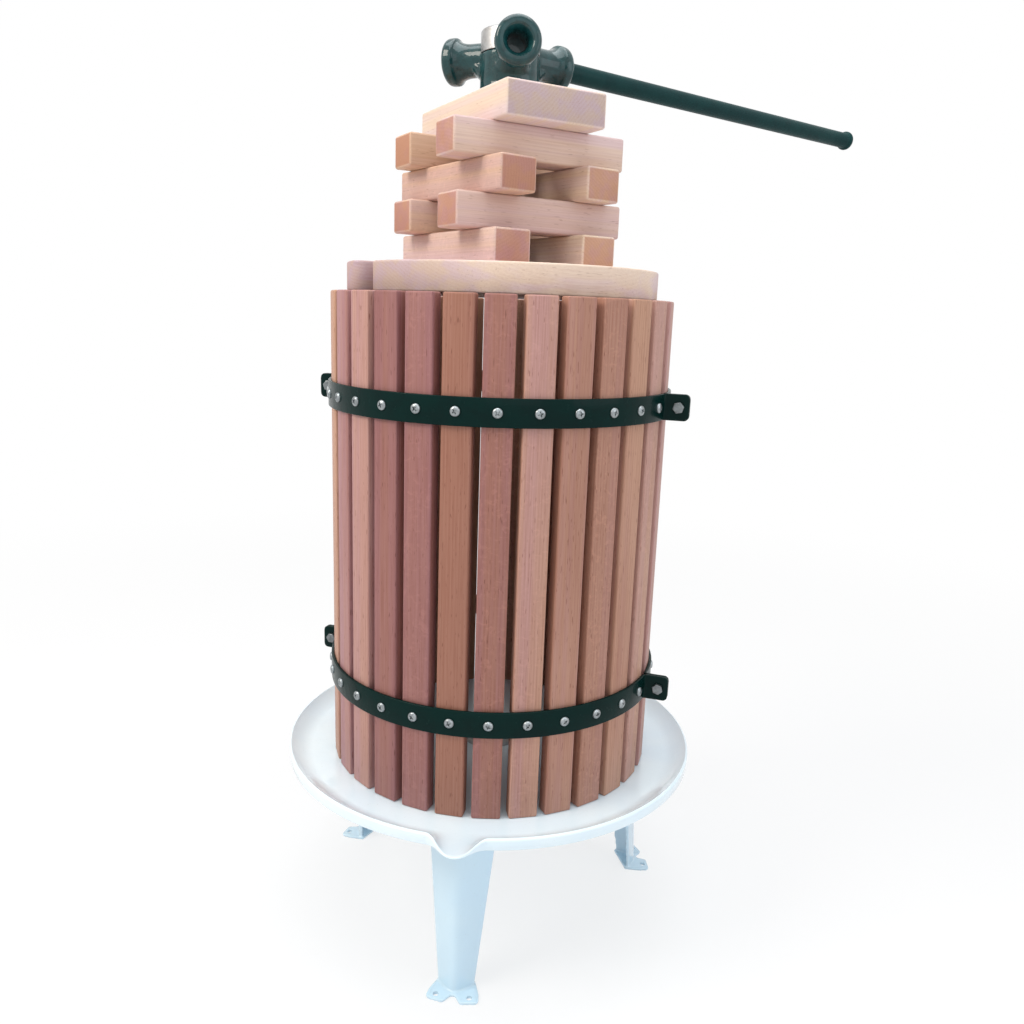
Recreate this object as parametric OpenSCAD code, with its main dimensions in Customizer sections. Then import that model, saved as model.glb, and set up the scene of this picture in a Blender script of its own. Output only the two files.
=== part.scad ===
// Grape and fruit press: a slatted basket in two bolted halves on an enamelled drip pan with three
// pressed sheet legs, a central screw, two half-moon press plates, a crib of pressing blocks and a
// cast three-socket head with a lever bar.
// Millimetres. Origin on the floor under the screw axis, +Z up, -Y is the spout side.
// Azimuths turn about the screw axis from -Y towards +X.

/* [Basket] */
// Length of a slat
slat_len = 495; // [400:1:600]
// Width of a slat
slat_w = 28.3; // [22:0.1:31]
// Thickness of a slat
slat_t = 15; // [10:0.5:20]
// Rounding of the slat edges
slat_edge = 2; // [0.5:0.5:3]
// Inner radius of the hoops
hoop_r = 175.3; // [160:0.1:200]
// Height of the hoop bar
hoop_h = 26; // [20:1:32]
// Thickness of the hoop bar
hoop_t = 3.2; // [2:0.1:5]
// Height of the lower hoop's middle above the foot of the slats
hoop_low = 99.5; // [60:0.5:160]
// Height of the upper hoop's middle above the foot of the slats
hoop_high = 394; // [300:0.5:400]
// Azimuth of the first slat beside the spout
basket_turn = 8; // [0:0.5:12]
// Slats in the front half of the basket
front_slats = 14; // [12:1:16]
// Turn of the rear half's slats against the front half's
rear_turn = 1.6; // [0:0.1:1.6]

/* [Hoop lugs] */
// How far a lug stands out from the hoop
lug_out = 24.5; // [20:0.5:32]
// Distance of the lug bolt from the hoop's outer face
lug_bolt_out = 14; // [11:0.5:16]
// Inside radius of the bend into the lug
lug_bend = 2.5; // [1.5:0.5:4]
// Radius of the lug's outer corners
lug_corner = 5; // [1:0.5:8]
// Diameter of the lug bolts
lug_bolt_d = 6; // [5:1:8]
// Length of the lug bolts under the head
lug_bolt_len = 16; // [15:1:20]
// Width across the flats of the lug bolt head and nut
lug_hex = 10; // [8:1:13]
// Height of the lug bolt head
lug_head_h = 4; // [3:0.5:6]
// Height of the lug nut
lug_nut_h = 5; // [4:0.5:6]

/* [Slat screws] */
// Diameter of the screw head
pan_head_d = 9.5; // [7:0.5:12]
// Height of the screw head
pan_head_h = 2.6; // [2:0.1:4]
// Diameter of the screw shank
slat_screw_d = 4; // [3:0.5:5]
// Length of the screw under the head
slat_screw_len = 13.5; // [10:0.5:14]

/* [Drip pan] */
// Height of the pan floor above the ground
floor_z = 187; // [150:1:260]
// Thickness of the pan sheet
pan_t = 2; // [1.5:0.1:3]
// Radius of the flat floor
flat_r = 200; // [200:1:205]
// Width of the dished wall from the flat floor out to the crest of the rim
dish_w = 23; // [18:1:30]
// Height of the rim above the floor
rim_h = 11; // [8:0.5:20]
// Depth of the turned-down skirt
skirt_h = 11.5; // [8:0.5:20]
// Radius that rounds the rim into the skirt
rim_roll = 2.4; // [1.8:0.1:4]
// How far the spout reaches beyond the rim's crest
spout_out = 20; // [14:0.5:40]
// Width of the spout
spout_w = 38; // [26:1:44]
// Drop of the spout's lip below the rim
spout_drop = 8; // [3:0.5:9]
// Azimuth of the spout
spout_az = 1.5; // [-4:0.5:4]

/* [Legs] */
// Azimuth of the right leg from the front leg; the left leg mirrors it
leg_az = 112; // [105:1:125]
// Width of a leg at the pan
leg_top_w = 72; // [60:1:90]
// Width of a leg at the foot
leg_foot_w = 37; // [30:1:46]
// Radius of the leg's ridge at the pan
leg_top_r = 180; // [165:1:190]
// Radius of the leg's ridge at the foot
leg_foot_r = 191; // [180:1:210]
// Depth of the leg's fold at the pan
fold_top = 24; // [14:1:30]
// Depth of the leg's fold at the foot
fold_foot = 13; // [8:1:16]
// Thickness of the leg sheet
leg_t = 3; // [2:0.2:4]
// Radius of the arch cut in the top of a leg
arch_r = 15; // [8:0.5:18]
// Height of the arch cut below the leg's top flange
arch_h = 18; // [8:0.5:30]
// How far the foot tabs reach beyond the ridge
foot_out = 13; // [10:0.5:20]
// Width across both foot tabs
foot_w = 53; // [48:1:60]
// Radius of the circle through the foot holes
foot_hole_pcr = 197; // [194:0.5:199]
// Half the angle between a foot's two holes
foot_hole_half = 4.9; // [4.5:0.1:5.2]
// Diameter of the foot holes
foot_hole_d = 6; // [5:0.5:7]
// Radius at which the leg bolts stand
leg_bolt_r = 134; // [125:1:140]
// Half the distance between a leg's two bolts
leg_bolt_half = 14; // [12:1:16]
// Diameter of the leg bolts
leg_bolt_d = 8; // [6:1:8]

/* [Screw] */
// Diameter of the press screw
screw_d = 30; // [24:1:34]
// Diameter of the screw's foot flange
screw_flange_d = 62; // [50:1:80]
// Thickness of the screw's foot flange
screw_flange_t = 5; // [4:0.5:8]
// Width across the flats of the nut under the pan
screw_nut_hex = 46; // [44:1:50]
// Height of the nut under the pan
screw_nut_h = 18; // [14:1:24]
// How far the screw stands out below its nut
screw_below = 5; // [2:0.5:10]
// How far the screw stands out above the head nut
screw_above = 2; // [1:0.5:3]

/* [Press plates and blocks] */
// Thickness of the press plates
plate_t = 28; // [20:1:36]
// Sideways offset of each press plate along its chord
plate_shift = 7; // [0:0.5:8]
// Azimuth of the line between the press plates
chord_az = 126; // [110:1:140]
// Radius of the press plates' corners
plate_corner = 12; // [6:1:16]
// Length of a pressing block
block_len = 185; // [150:1:200]
// Width of a pressing block
block_w = 40; // [32:1:48]
// Height of a pressing block
block_h = 31.5; // [25:0.5:38]
// Open width between the two blocks of a layer
block_gap = 60; // [50:1:70]
// Length of the top block
top_len = 190; // [150:1:200]
// Width of the top block
top_w = 106; // [90:1:120]
// Rounding of the block edges
block_edge = 2.5; // [0.5:0.5:4]
// Azimuth along which the left-right blocks lie
crib_az = 129; // [115:1:140]

/* [Head] */
// Diameter of the hub
hub_d = 58; // [54:1:64]
// Height of the socket axes above the top block
socket_z = 41.5; // [38:0.5:50]
// Diameter of the socket arms
arm_d = 31; // [28:1:36]
// Diameter of the flared socket mouth
mouth_d = 44; // [38:1:50]
// Distance of the socket mouths from the screw axis
mouth_r = 67; // [60:1:76]
// Distance of the socket bottoms from the screw axis
socket_in = 34; // [34:0.5:38]
// Azimuth of the lever bar's socket
bar_az = 135; // [90:1:180]
// Height of the head nut's collar above the hub
collar_h = 21; // [14:0.5:26]
// Height of the hub under the head nut's collar
hub_h = 44; // [38:0.5:48]
// Diameter of the head nut inside the hub
nut_d = 44; // [40:1:48]

/* [Lever bar] */
// Diameter of the lever bar
bar_d = 19; // [16:0.5:22]
// Length of the lever bar
bar_len = 541; // [400:1:700]
// Diameter of the rim on the bar's end
bar_rim_d = 23.5; // [21:0.5:28]
// Width of the rim on the bar's end
bar_rim_w = 6; // [4:0.5:10]

/* [Clearances] */
// Play between the slats and the hoops
hoop_fit = 0.05; // [0.02:0.01:0.2]
// Play round fasteners in their holes
hole_fit = 0.08; // [0.05:0.01:0.1]
// Running play of the head nut on the screw
screw_fit = 0.08; // [0.02:0.01:0.1]
// Play of the lever bar in its socket
bar_fit = 0.1; // [0.05:0.01:0.1]
// Gap between the two lugs of a joint
lug_gap = 0.3; // [0.2:0.1:1]
// Gap between the press plates, and at the bar's end
seat_gap = 0.3; // [0.2:0.1:0.5]
// Least play of the press plates inside the slats
plate_play = 0.6; // [0.4:0.1:3]
// Gap under the head, on the top block
head_gap = 0.02; // [0.01:0.01:0.1]
// Play of the plates and the top block round the screw
screw_play = 2; // [1:0.5:4]

/* [Hidden] */
slat_count = 30;
pitch = 360 / slat_count;
half_turn = basket_turn + pitch * (front_slats / 2 - 8.5) - 90;
joint_y = (hoop_r + hoop_t / 2) * cos(front_slats * pitch / 2);
slat_face = slat_edge + sqrt(pow(hoop_r - hoop_fit - slat_edge, 2) - pow(slat_w / 2 - slat_edge, 2));
slat_in = slat_face - slat_t;
slat_top = floor_z + slat_len;
hoop_out = hoop_r + hoop_t;
hoop_levels = [floor_z + hoop_low, floor_z + hoop_high];
joint_x = sqrt(pow(hoop_out, 2) - pow(joint_y, 2));
lug_face = lug_gap / 2 + hoop_t;
under_z = floor_z - pan_t;
rim_r = flat_r + dish_w;
rim_z = floor_z + rim_h;
skirt_r = rim_r + rim_roll;
leg_azimuths = [0, leg_az, 360 - leg_az];
leg_nut_h = leg_bolt_d * 0.8;
washer_t = 4;
screw_hole_r = screw_d / 2 + hole_fit;
plate_r = slat_in - plate_shift - plate_play;
notch_r = screw_d / 2 + plate_shift + screw_play;
stack_z = slat_top + plate_t;
head_z = stack_z + 5 * block_h + head_gap;
crib_yaw = [2, 0, 4, -2, -2.5];
collar_z = head_z + hub_h;
nut_top = collar_z + collar_h;
socket_azimuths = [bar_az, bar_az + 120, bar_az + 240];
trough_r = (pow(spout_w / 2, 2) + pow(rim_h - 2, 2)) / (2 * (rim_h - 2));
spout_nose = rim_r + spout_out - spout_w * 0.36;
spout_dip = 2;
ROUND = 96;
FRONT = [1:front_slats];
REAR = [front_slats + 1:slat_count];

// Turns the local +X axis to an azimuth
module at(az) {
    rotate([0, 0, az - 90]) children();
}

function arc_pts(c, r, a0, a1, n) =
    [for (i = [0:n]) c + r * [cos(a0 + (a1 - a0) * i / n), sin(a0 + (a1 - a0) * i / n)]];

function round_rect(l, w, r, n = 2) = concat(
    arc_pts([l / 2 - r, w / 2 - r], r, 0, 90, n),
    arc_pts([r - l / 2, w / 2 - r], r, 90, 180, n),
    arc_pts([r - l / 2, r - w / 2], r, 180, 270, n),
    arc_pts([l / 2 - r, r - w / 2], r, 270, 360, n));

// Faces of a loft through k rings of m points each
function loft_faces(m, k) = concat(
    [[for (i = [0:m - 1]) i]],
    [[for (i = [0:m - 1]) k * m - 1 - i]],
    [for (j = [0:k - 2], i = [0:m - 1]) [j * m + i, (j + 1) * m + i, (j + 1) * m + (i + 1) % m]],
    [for (j = [0:k - 2], i = [0:m - 1]) [j * m + i, (j + 1) * m + (i + 1) % m, j * m + (i + 1) % m]]);

module loft(rings) {
    polyhedron(points = [for (r = rings, p = r) p], faces = loft_faces(len(rings[0]), len(rings)));
}

// Planed timber with eased edges: length on X, width on Y, height from Z = 0
module timber(l, w, h, e) {
    intersection() {
        linear_extrude(h) polygon(round_rect(l, w, e));
        translate([0, w / 2, h / 2]) rotate([90, 0, 0]) linear_extrude(w) polygon(round_rect(l, h, e));
        translate([-l / 2, 0, h / 2]) rotate([90, 0, 90]) linear_extrude(l) polygon(round_rect(w, h, e));
    }
}

// Prism or cylinder lying along local +X
module along_x(d, l, n = 48) {
    rotate([0, 90, 0]) cylinder(d = d, h = l, $fn = n);
}

// Prism or cylinder lying along local +Y
module along_y(d, l, n = 48) {
    rotate([-90, 0, 0]) cylinder(d = d, h = l, $fn = n);
}

function hex_d(flats) = flats / cos(30);

// Upper line of the pan's dished wall, from the flat floor to the rim
function dish(n) = [for (i = [0:n])
    [flat_r + (rim_r - flat_r) * i / n, floor_z + rim_h * pow(i / n, 2.1)]];

// Floor, dished wall, rolled rim and skirt, turned as one sheet
module tray() {
    n = 10;
    top = dish(n);
    rotate_extrude($fn = ROUND) polygon(concat(
        [[screw_hole_r, under_z], [screw_hole_r, floor_z]],
        top,
        arc_pts([rim_r, rim_z - rim_roll], rim_roll, 65, 0, 3),
        [[skirt_r, rim_z - skirt_h], [skirt_r - pan_t * 0.8, rim_z - skirt_h],
         [skirt_r - pan_t * 0.8, rim_z - rim_roll - pan_t]],
        [for (i = [n:-1:0]) top[i] - [pan_t * 0.35 * i / n, pan_t * (1 + 0.25 * i / n)]]));
}

// Round-nosed bar of radius r that hollows or backs the spout, dipping outwards
module spout_core(r) {
    len = spout_nose - flat_r;
    translate([flat_r, 0, floor_z + trough_r + len * sin(spout_dip) * 0.8]) rotate([0, 90 + spout_dip, 0])
        rotate_extrude($fn = 64) polygon(concat([[0, 0], [r, 0]], arc_pts([0, len], r, 0, 90, 9)));
}

// The spout's sheet before it is hollowed: below the dish and below the lip's sloping line
module spout_blank() {
    far = rim_r + 80;
    slope = atan2(spout_drop, spout_out);
    difference() {
        intersection() {
            rotate_extrude($fn = ROUND) polygon(concat(
                [[flat_r + 2, under_z - 20], [flat_r + 2, floor_z + 0.05]],
                [for (p = dish(10)) if (p[0] > flat_r + 3) p], [[far, rim_z], [far, under_z - 20]]));
            at(spout_az) spout_core(trough_r + pan_t);
        }
        at(spout_az) translate([rim_r - 1, -60, rim_z]) rotate([0, slope, 0])
            translate([-1, 0, 0]) cube([90, 120, 60]);
    }
}

module leg_holes(d, z, h) {
    for (a = leg_azimuths, s = [-1, 1])
        at(a) translate([leg_bolt_r, s * leg_bolt_half, z]) cylinder(d = d, h = h, $fn = 48);
}

module drip_pan() {
    color("white") difference() {
        union() {
            tray();
            spout_blank();
        }
        at(spout_az) spout_core(trough_r);
        leg_holes(leg_bolt_d + 2 * hole_fit, under_z - 1, pan_t + 2);
    }
}

// Depth of the leg's rounded fold at s, from -1 to 1 across its width
function fold(s) = (sqrt(s * s + 0.09) - 0.3) / (sqrt(1.09) - 0.3);

function leg_ring(r, w, d, z) = concat(
    [for (i = [0:12]) let (s = i / 6 - 1) [r - d * fold(s), s * w / 2, z]],
    [for (i = [12:-1:0]) let (s = i / 6 - 1)
        [r - d * fold(s) - leg_t * (1 + 0.25 * abs(s)), s * (w / 2 - 0.6), z]]);

module leg(az) {
    h = under_z;
    foot_x = leg_foot_r + foot_out;
    tip_y = foot_w / 2;
    color("white") at(az) difference() {
        union() {
            difference() {
                loft([leg_ring(leg_foot_r, leg_foot_w, fold_foot, leg_t / 2),
                    leg_ring(leg_top_r, leg_top_w, fold_top, h - leg_t / 2)]);
                translate([leg_top_r - 60, 0, h - leg_t - arch_h + arch_r]) along_x(2 * arch_r, 80);
                translate([leg_top_r - 60, -arch_r, h - leg_t - arch_h + arch_r])
                    cube([80, 2 * arch_r, arch_h]);
            }
            // top flange against the pan
            translate([0, 0, h - leg_t]) linear_extrude(leg_t) polygon(concat(
                [for (i = [0:12]) let (s = i / 6 - 1)
                    [leg_top_r - fold_top * fold(s) + 0.3, s * (leg_top_w / 2 + 0.2)]],
                [[leg_top_r - fold_top - 2 * leg_t, leg_top_w / 2 + 0.2],
                 [leg_bolt_r - 8, leg_bolt_half + 12],
                 [leg_bolt_r - 16, leg_bolt_half + 4], [leg_bolt_r - 16, -leg_bolt_half - 4],
                 [leg_bolt_r - 8, -leg_bolt_half - 12],
                 [leg_top_r - fold_top - 2 * leg_t, -leg_top_w / 2 - 0.2]]));
            // foot tabs, notched under the ridge
            linear_extrude(leg_t) polygon(concat(
                [[leg_foot_r - fold_foot - 2 * leg_t, -leg_foot_w / 2 - 0.3], [leg_foot_r - 1, -tip_y + 1]],
                arc_pts([foot_x - 7, -tip_y + 5], 5, 250, 330, 3),
                [[foot_x, -tip_y + 17], [foot_x - 1.5, -tip_y + 19], [leg_foot_r + 4, -2.5]],
                [[leg_foot_r + 4, 2.5], [foot_x - 1.5, tip_y - 19], [foot_x, tip_y - 17]],
                arc_pts([foot_x - 7, tip_y - 5], 5, 30, 110, 3),
                [[leg_foot_r - 1, tip_y - 1], [leg_foot_r - fold_foot - 2 * leg_t, leg_foot_w / 2 + 0.3]]));
        }
        for (s = [-1, 1]) {
            rotate([0, 0, s * foot_hole_half]) translate([foot_hole_pcr, 0, -1])
                cylinder(d = foot_hole_d, h = leg_t + 2, $fn = 48);
            translate([leg_bolt_r, s * leg_bolt_half, h - leg_t - 1])
                cylinder(d = leg_bolt_d + 2 * hole_fit, h = leg_t + 2, $fn = 48);
        }
    }
}

// Coach bolts: a low domed head on the pan floor, the shank down through the leg's flange
module leg_bolts() {
    len = pan_t + leg_t + leg_nut_h + 3;
    color("silver") for (a = leg_azimuths, s = [-1, 1])
        at(a) translate([leg_bolt_r, s * leg_bolt_half, floor_z]) rotate_extrude($fn = 48) polygon(concat(
            [[0, -len], [leg_bolt_d / 2, -len], [leg_bolt_d / 2, 0], [leg_bolt_d, 0]],
            arc_pts([0, -leg_bolt_d], 1.4142 * leg_bolt_d, 45, 90, 4)));
}

module leg_nuts() {
    color("silver") difference() {
        for (a = leg_azimuths, s = [-1, 1])
            at(a) translate([leg_bolt_r, s * leg_bolt_half, under_z - leg_t - leg_nut_h])
                cylinder(d = hex_d(leg_bolt_d * 1.625), h = leg_nut_h, $fn = 6);
        leg_holes(leg_bolt_d + 2 * hole_fit, under_z - leg_t - leg_nut_h - 1, leg_nut_h + 2);
    }
}

module press_screw() {
    low = under_z - washer_t - screw_nut_h - screw_below;
    color("silver") {
        translate([0, 0, low]) cylinder(d1 = screw_d - 3, d2 = screw_d, h = 1.5, $fn = ROUND);
        translate([0, 0, low + 1.5]) cylinder(d = screw_d, h = nut_top + screw_above - 3 - low, $fn = ROUND);
        translate([0, 0, nut_top + screw_above - 1.5])
            cylinder(d1 = screw_d, d2 = screw_d - 3, h = 1.5, $fn = ROUND);
        translate([0, 0, floor_z]) cylinder(d = screw_flange_d, h = screw_flange_t - 1, $fn = ROUND);
        translate([0, 0, floor_z + screw_flange_t - 1])
            cylinder(d1 = screw_flange_d, d2 = screw_flange_d - 2, h = 1, $fn = ROUND);
    }
}

// Hexagon nut with its washer forged on, drawn up against the underside of the pan
module screw_nut() {
    color("silver") difference() {
        union() {
            translate([0, 0, under_z - washer_t])
                cylinder(d = screw_nut_hex * 1.5, h = washer_t, $fn = ROUND);
            translate([0, 0, under_z - washer_t - screw_nut_h])
                cylinder(d = hex_d(screw_nut_hex), h = screw_nut_h + 0.5, $fn = 6);
        }
        translate([0, 0, under_z - washer_t - screw_nut_h - 1])
            cylinder(r = screw_hole_r, h = washer_t + screw_nut_h + 2, $fn = ROUND);
    }
}

// Slats 1 to 15 make the front half, 16 to 30 the rear half
// Azimuth of slat i, counted from the left joint through the front
function slat_az(i) = basket_turn + pitch * (i - 9) + (i > front_slats ? rear_turn : 0);

module slat(i) {
    color("burlywood") at(slat_az(i)) difference() {
        translate([slat_face - slat_t / 2, 0, floor_z]) timber(slat_t, slat_w, slat_len, slat_edge);
        for (z = hoop_levels)
            translate([hoop_out - slat_screw_len - 0.5, 0, z]) along_x(slat_screw_d + 2 * hole_fit, 30);
    }
}

// Part of a hoop on the local +Y side of the joint at Y = off, with a lug bent outwards at each end
module half_hoop(az, z, off, slats) {
    centre_y = off + lug_face + lug_bend;
    end = asin(centre_y / (hoop_out + lug_bend));
    centre = (hoop_out + lug_bend) * [cos(end), sin(end)];
    far = 2 * hoop_out;
    color("darkgreen") at(az) translate([0, 0, z]) difference() {
        union() {
            translate([0, 0, -hoop_h / 2]) linear_extrude(hoop_h) {
                difference() {
                    circle(r = hoop_out, $fn = ROUND);
                    circle(r = hoop_r, $fn = ROUND);
                    polygon([[0, 0], far * [cos(end), sin(end)], [far, -far], [-far, -far],
                        far * [-cos(end), sin(end)]]);
                }
                for (m = [0, 1]) mirror([m, 0]) polygon(concat(
                    [(hoop_out - 1) * [cos(end + 1), sin(end + 1)],
                     (hoop_r + 1) * [cos(end + 1), sin(end + 1)]],
                    arc_pts(centre, lug_bend + hoop_t, 180 + end, 270, 6),
                    arc_pts(centre, lug_bend, 270, 180 + end, 6)));
            }
            for (m = [0, 1]) mirror([m, 0, 0]) translate([centre[0], off + lug_face, 0]) rotate([90, 0, 0])
                linear_extrude(hoop_t) {
                    w = joint_x + lug_out - centre[0];
                    polygon(concat([[0, -hoop_h / 2]],
                        arc_pts([w - lug_corner, lug_corner - hoop_h / 2], lug_corner, 270, 360, 4),
                        arc_pts([w - lug_corner, hoop_h / 2 - lug_corner], lug_corner, 0, 90, 4),
                        [[0, hoop_h / 2]]));
                }
        }
        for (s = [-1, 1]) translate([s * (joint_x + lug_bolt_out), off - 1, 0])
            along_y(lug_bolt_d + 2 * hole_fit, lug_face + 2);
        for (i = slats) rotate([0, 0, slat_az(i) - az]) translate([hoop_r - 5, 0, 0])
            along_x(slat_screw_d + 2 * hole_fit, hoop_t + 10);
    }
}

module slat_screws(slats) {
    color("silver") for (i = slats, z = hoop_levels)
        at(slat_az(i)) translate([hoop_out, 0, z]) rotate([0, 90, 0])
            rotate_extrude($fn = 32) polygon([[0, -slat_screw_len], [slat_screw_d / 2, -slat_screw_len],
                [slat_screw_d / 2, 0], [pan_head_d / 2, 0], [pan_head_d / 2, pan_head_h * 0.3],
                [pan_head_d * 0.43, pan_head_h * 0.68], [pan_head_d * 0.29, pan_head_h * 0.92],
                [0, pan_head_h]]);
}

module lug_bolts() {
    color("silver") at(half_turn) for (s = [-1, 1], z = hoop_levels)
        translate([s * (joint_x + lug_bolt_out), joint_y + lug_face, z]) {
            along_y(hex_d(lug_hex), lug_head_h, 6);
            translate([0, -lug_bolt_len, 0]) along_y(lug_bolt_d, lug_bolt_len + 0.5);
        }
}

module lug_nuts() {
    color("silver") at(half_turn) for (s = [-1, 1], z = hoop_levels)
        translate([s * (joint_x + lug_bolt_out), joint_y - lug_face - lug_nut_h, z]) difference() {
            along_y(hex_d(lug_hex), lug_nut_h, 6);
            translate([0, -1, 0]) along_y(lug_bolt_d + 2 * hole_fit, lug_nut_h + 2);
        }
}

// Half-moon plate: chord on local X, arc towards local +Y, corners and edges rounded
module press_plate(az) {
    g = seat_gap / 2;
    c = plate_corner;
    e = block_edge;
    cx = sqrt(pow(plate_r - c, 2) - pow(g + c, 2));
    k = 1.1 * plate_r / (plate_r - c);
    color("burlywood") at(az) translate([-plate_shift, 0, slat_top]) difference() {
        intersection() {
            rotate_extrude($fn = ROUND) polygon(concat([[0, 0]],
                arc_pts([plate_r - e, e], e, 270, 360, 2), arc_pts([plate_r - e, plate_t - e], e, 0, 90, 2),
                [[0, plate_t]]));
            translate([-plate_r - 5, g, -1]) cube([2 * plate_r + 10, plate_r + 5, plate_t + 2]);
        }
        translate([0, 0, -1]) linear_extrude(plate_t + 2) {
            circle(r = notch_r, $fn = ROUND);
            for (m = [0, 1]) mirror([m, 0]) difference() {
                polygon([[cx, g + c], [cx, -5], [plate_r + 9, -5], [plate_r + 9, (g + c) * k],
                    [cx * k, (g + c) * k]]);
                translate([cx, g + c]) circle(r = c, $fn = 48);
            }
        }
    }
}

// One of a pair of pressing blocks: layer 1 to 5, lying along azimuth az, on side s
module block(layer, az, s) {
    color("burlywood") at(az + crib_yaw[layer - 1])
        translate([0, s * (block_gap + block_w) / 2, stack_z + (layer - 1) * block_h])
            timber(block_len, block_w, block_h, block_edge);
}

module top_block() {
    z = stack_z + 4 * block_h;
    color("burlywood") at(crib_az - 90 + crib_yaw[4]) difference() {
        translate([0, 0, z]) timber(top_len, top_w, block_h, block_edge);
        translate([0, 0, z - 1]) cylinder(r = screw_d / 2 + screw_play, h = block_h + 2, $fn = ROUND);
    }
}

// Turned form of one socket arm, from the screw axis outwards along local +X
module socket_arm() {
    a = arm_d / 2;
    m = mouth_d / 2;
    rotate([0, 90, 0]) rotate_extrude($fn = ROUND) polygon(concat(
        [[0, 0], [a, 0], [a, mouth_r - 26]],
        [for (i = [1:6]) [a + (m - a) * (1 - cos(i * 15)), mouth_r - 26 + 14 * sin(i * 15)]],
        arc_pts([m - 5, mouth_r - 5], 5, 0, 90, 5),
        [[0, mouth_r]]));
}

module press_head() {
    hub = hub_d / 2;
    bore = bar_d / 2 + bar_fit;
    color("darkgreen") difference() {
        union() {
            translate([0, 0, head_z]) rotate_extrude($fn = ROUND) polygon(concat(
                [[0, 0], [hub + 1.5, 0], [hub + 2.5, 1]],
                [for (i = [0:5]) [hub + 2.5 * (1 - sin(i * 18)), 4 + 9 * sin(i * 18)]],
                [[hub, hub_h - 2], [hub - 2, hub_h], [0, hub_h]]));
            for (a = socket_azimuths) at(a) {
                translate([0, 0, head_z + socket_z]) socket_arm();
                // cast web that carries the arm down into the hub
                hull() {
                    translate([mouth_r * 0.56, 0, head_z + socket_z]) along_x(arm_d - 1, 4, 32);
                    translate([hub * 0.35, 0, head_z + 5])
                        cylinder(r = hub * 0.6, h = hub_h * 0.6, $fn = 32);
                }
            }
        }
        for (a = socket_azimuths) at(a) {
            translate([socket_in, 0, head_z + socket_z]) along_x(2 * bore, mouth_r);
            translate([mouth_r - 2.5, 0, head_z + socket_z]) rotate([0, 90, 0])
                cylinder(r1 = bore, r2 = bore + 3, h = 3, $fn = 48);
        }
        translate([0, 0, collar_z]) cylinder(r = hub + hole_fit, h = collar_h + 30, $fn = ROUND);
        translate([0, 0, head_z - 1]) cylinder(r = nut_d / 2 + hole_fit, h = hub_h + 2, $fn = ROUND);
    }
}

// Threaded steel bush: a collar on the hub and a barrel down through it
module head_nut() {
    color("gainsboro") difference() {
        translate([0, 0, head_z + 1]) rotate_extrude($fn = ROUND) polygon([[0, 0], [nut_d / 2 - 1, 0],
            [nut_d / 2, 1], [nut_d / 2, hub_h - 1], [hub_d / 2, hub_h - 1],
            [hub_d / 2, hub_h + collar_h - 3],
            [hub_d / 2 - 2, hub_h + collar_h - 1], [0, hub_h + collar_h - 1]]);
        translate([0, 0, head_z])
            cylinder(r = screw_d / 2 + screw_fit, h = hub_h + collar_h + 1, $fn = ROUND);
    }
}

module lever_bar() {
    r = bar_d / 2;
    q = bar_rim_d / 2;
    color("darkgreen") at(bar_az) translate([socket_in + seat_gap, 0, head_z + socket_z]) rotate([0, 90, 0])
        rotate_extrude($fn = ROUND) polygon([[0, 0], [r - 1, 0], [r, 1], [r, bar_len - bar_rim_w - 2],
            [q - 0.8, bar_len - bar_rim_w], [q, bar_len - bar_rim_w + 1], [q, bar_len - 1.5],
            [q - 1.5, bar_len], [0, bar_len]]);
}

drip_pan();
leg(leg_azimuths[0]);  // leg_front
leg(leg_azimuths[1]);  // leg_right
leg(leg_azimuths[2]);  // leg_left
leg_bolts();
leg_nuts();
press_screw();
screw_nut();
slat(1);  // slat_01
slat(2);  // slat_02
slat(3);  // slat_03
slat(4);  // slat_04
slat(5);  // slat_05
slat(6);  // slat_06
slat(7);  // slat_07
slat(8);  // slat_08
slat(9);  // slat_09
slat(10);  // slat_10
slat(11);  // slat_11
slat(12);  // slat_12
slat(13);  // slat_13
slat(14);  // slat_14
slat(15);  // slat_15
slat(16);  // slat_16
slat(17);  // slat_17
slat(18);  // slat_18
slat(19);  // slat_19
slat(20);  // slat_20
slat(21);  // slat_21
slat(22);  // slat_22
slat(23);  // slat_23
slat(24);  // slat_24
slat(25);  // slat_25
slat(26);  // slat_26
slat(27);  // slat_27
slat(28);  // slat_28
slat(29);  // slat_29
slat(30);  // slat_30
half_hoop(half_turn, hoop_levels[1], joint_y, FRONT);  // hoop_upper_front
half_hoop(half_turn + 180, hoop_levels[1], -joint_y, REAR);  // hoop_upper_rear
half_hoop(half_turn, hoop_levels[0], joint_y, FRONT);  // hoop_lower_front
half_hoop(half_turn + 180, hoop_levels[0], -joint_y, REAR);  // hoop_lower_rear
slat_screws(FRONT);  // slat_screws_front
slat_screws(REAR);  // slat_screws_rear
lug_bolts();
lug_nuts();
press_plate(chord_az - 180);  // press_plate_front
press_plate(chord_az);  // press_plate_rear
block(1, crib_az - 90, -1);  // block_1_left
block(1, crib_az - 90, 1);  // block_1_right
block(2, crib_az, -1);  // block_2_front
block(2, crib_az, 1);  // block_2_rear
block(3, crib_az - 90, -1);  // block_3_left
block(3, crib_az - 90, 1);  // block_3_right
block(4, crib_az, -1);  // block_4_front
block(4, crib_az, 1);  // block_4_rear
top_block();
press_head();
head_nut();
lever_bar();
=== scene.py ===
"""Dressed model of a slatted basket press: every visible surface, the floor, the light and the camera.

Sizes are in metres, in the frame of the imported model: origin on the floor under the screw, +Z up,
-Y on the spout side. An azimuth turns about the screw from -Y towards +X.
"""
from math import asin, atan2, cos, degrees, hypot, pi, radians, sin, sqrt

import bmesh
import bpy
from bpy.props import FloatProperty, FloatVectorProperty, PointerProperty
from mathutils import Matrix, Vector


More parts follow.
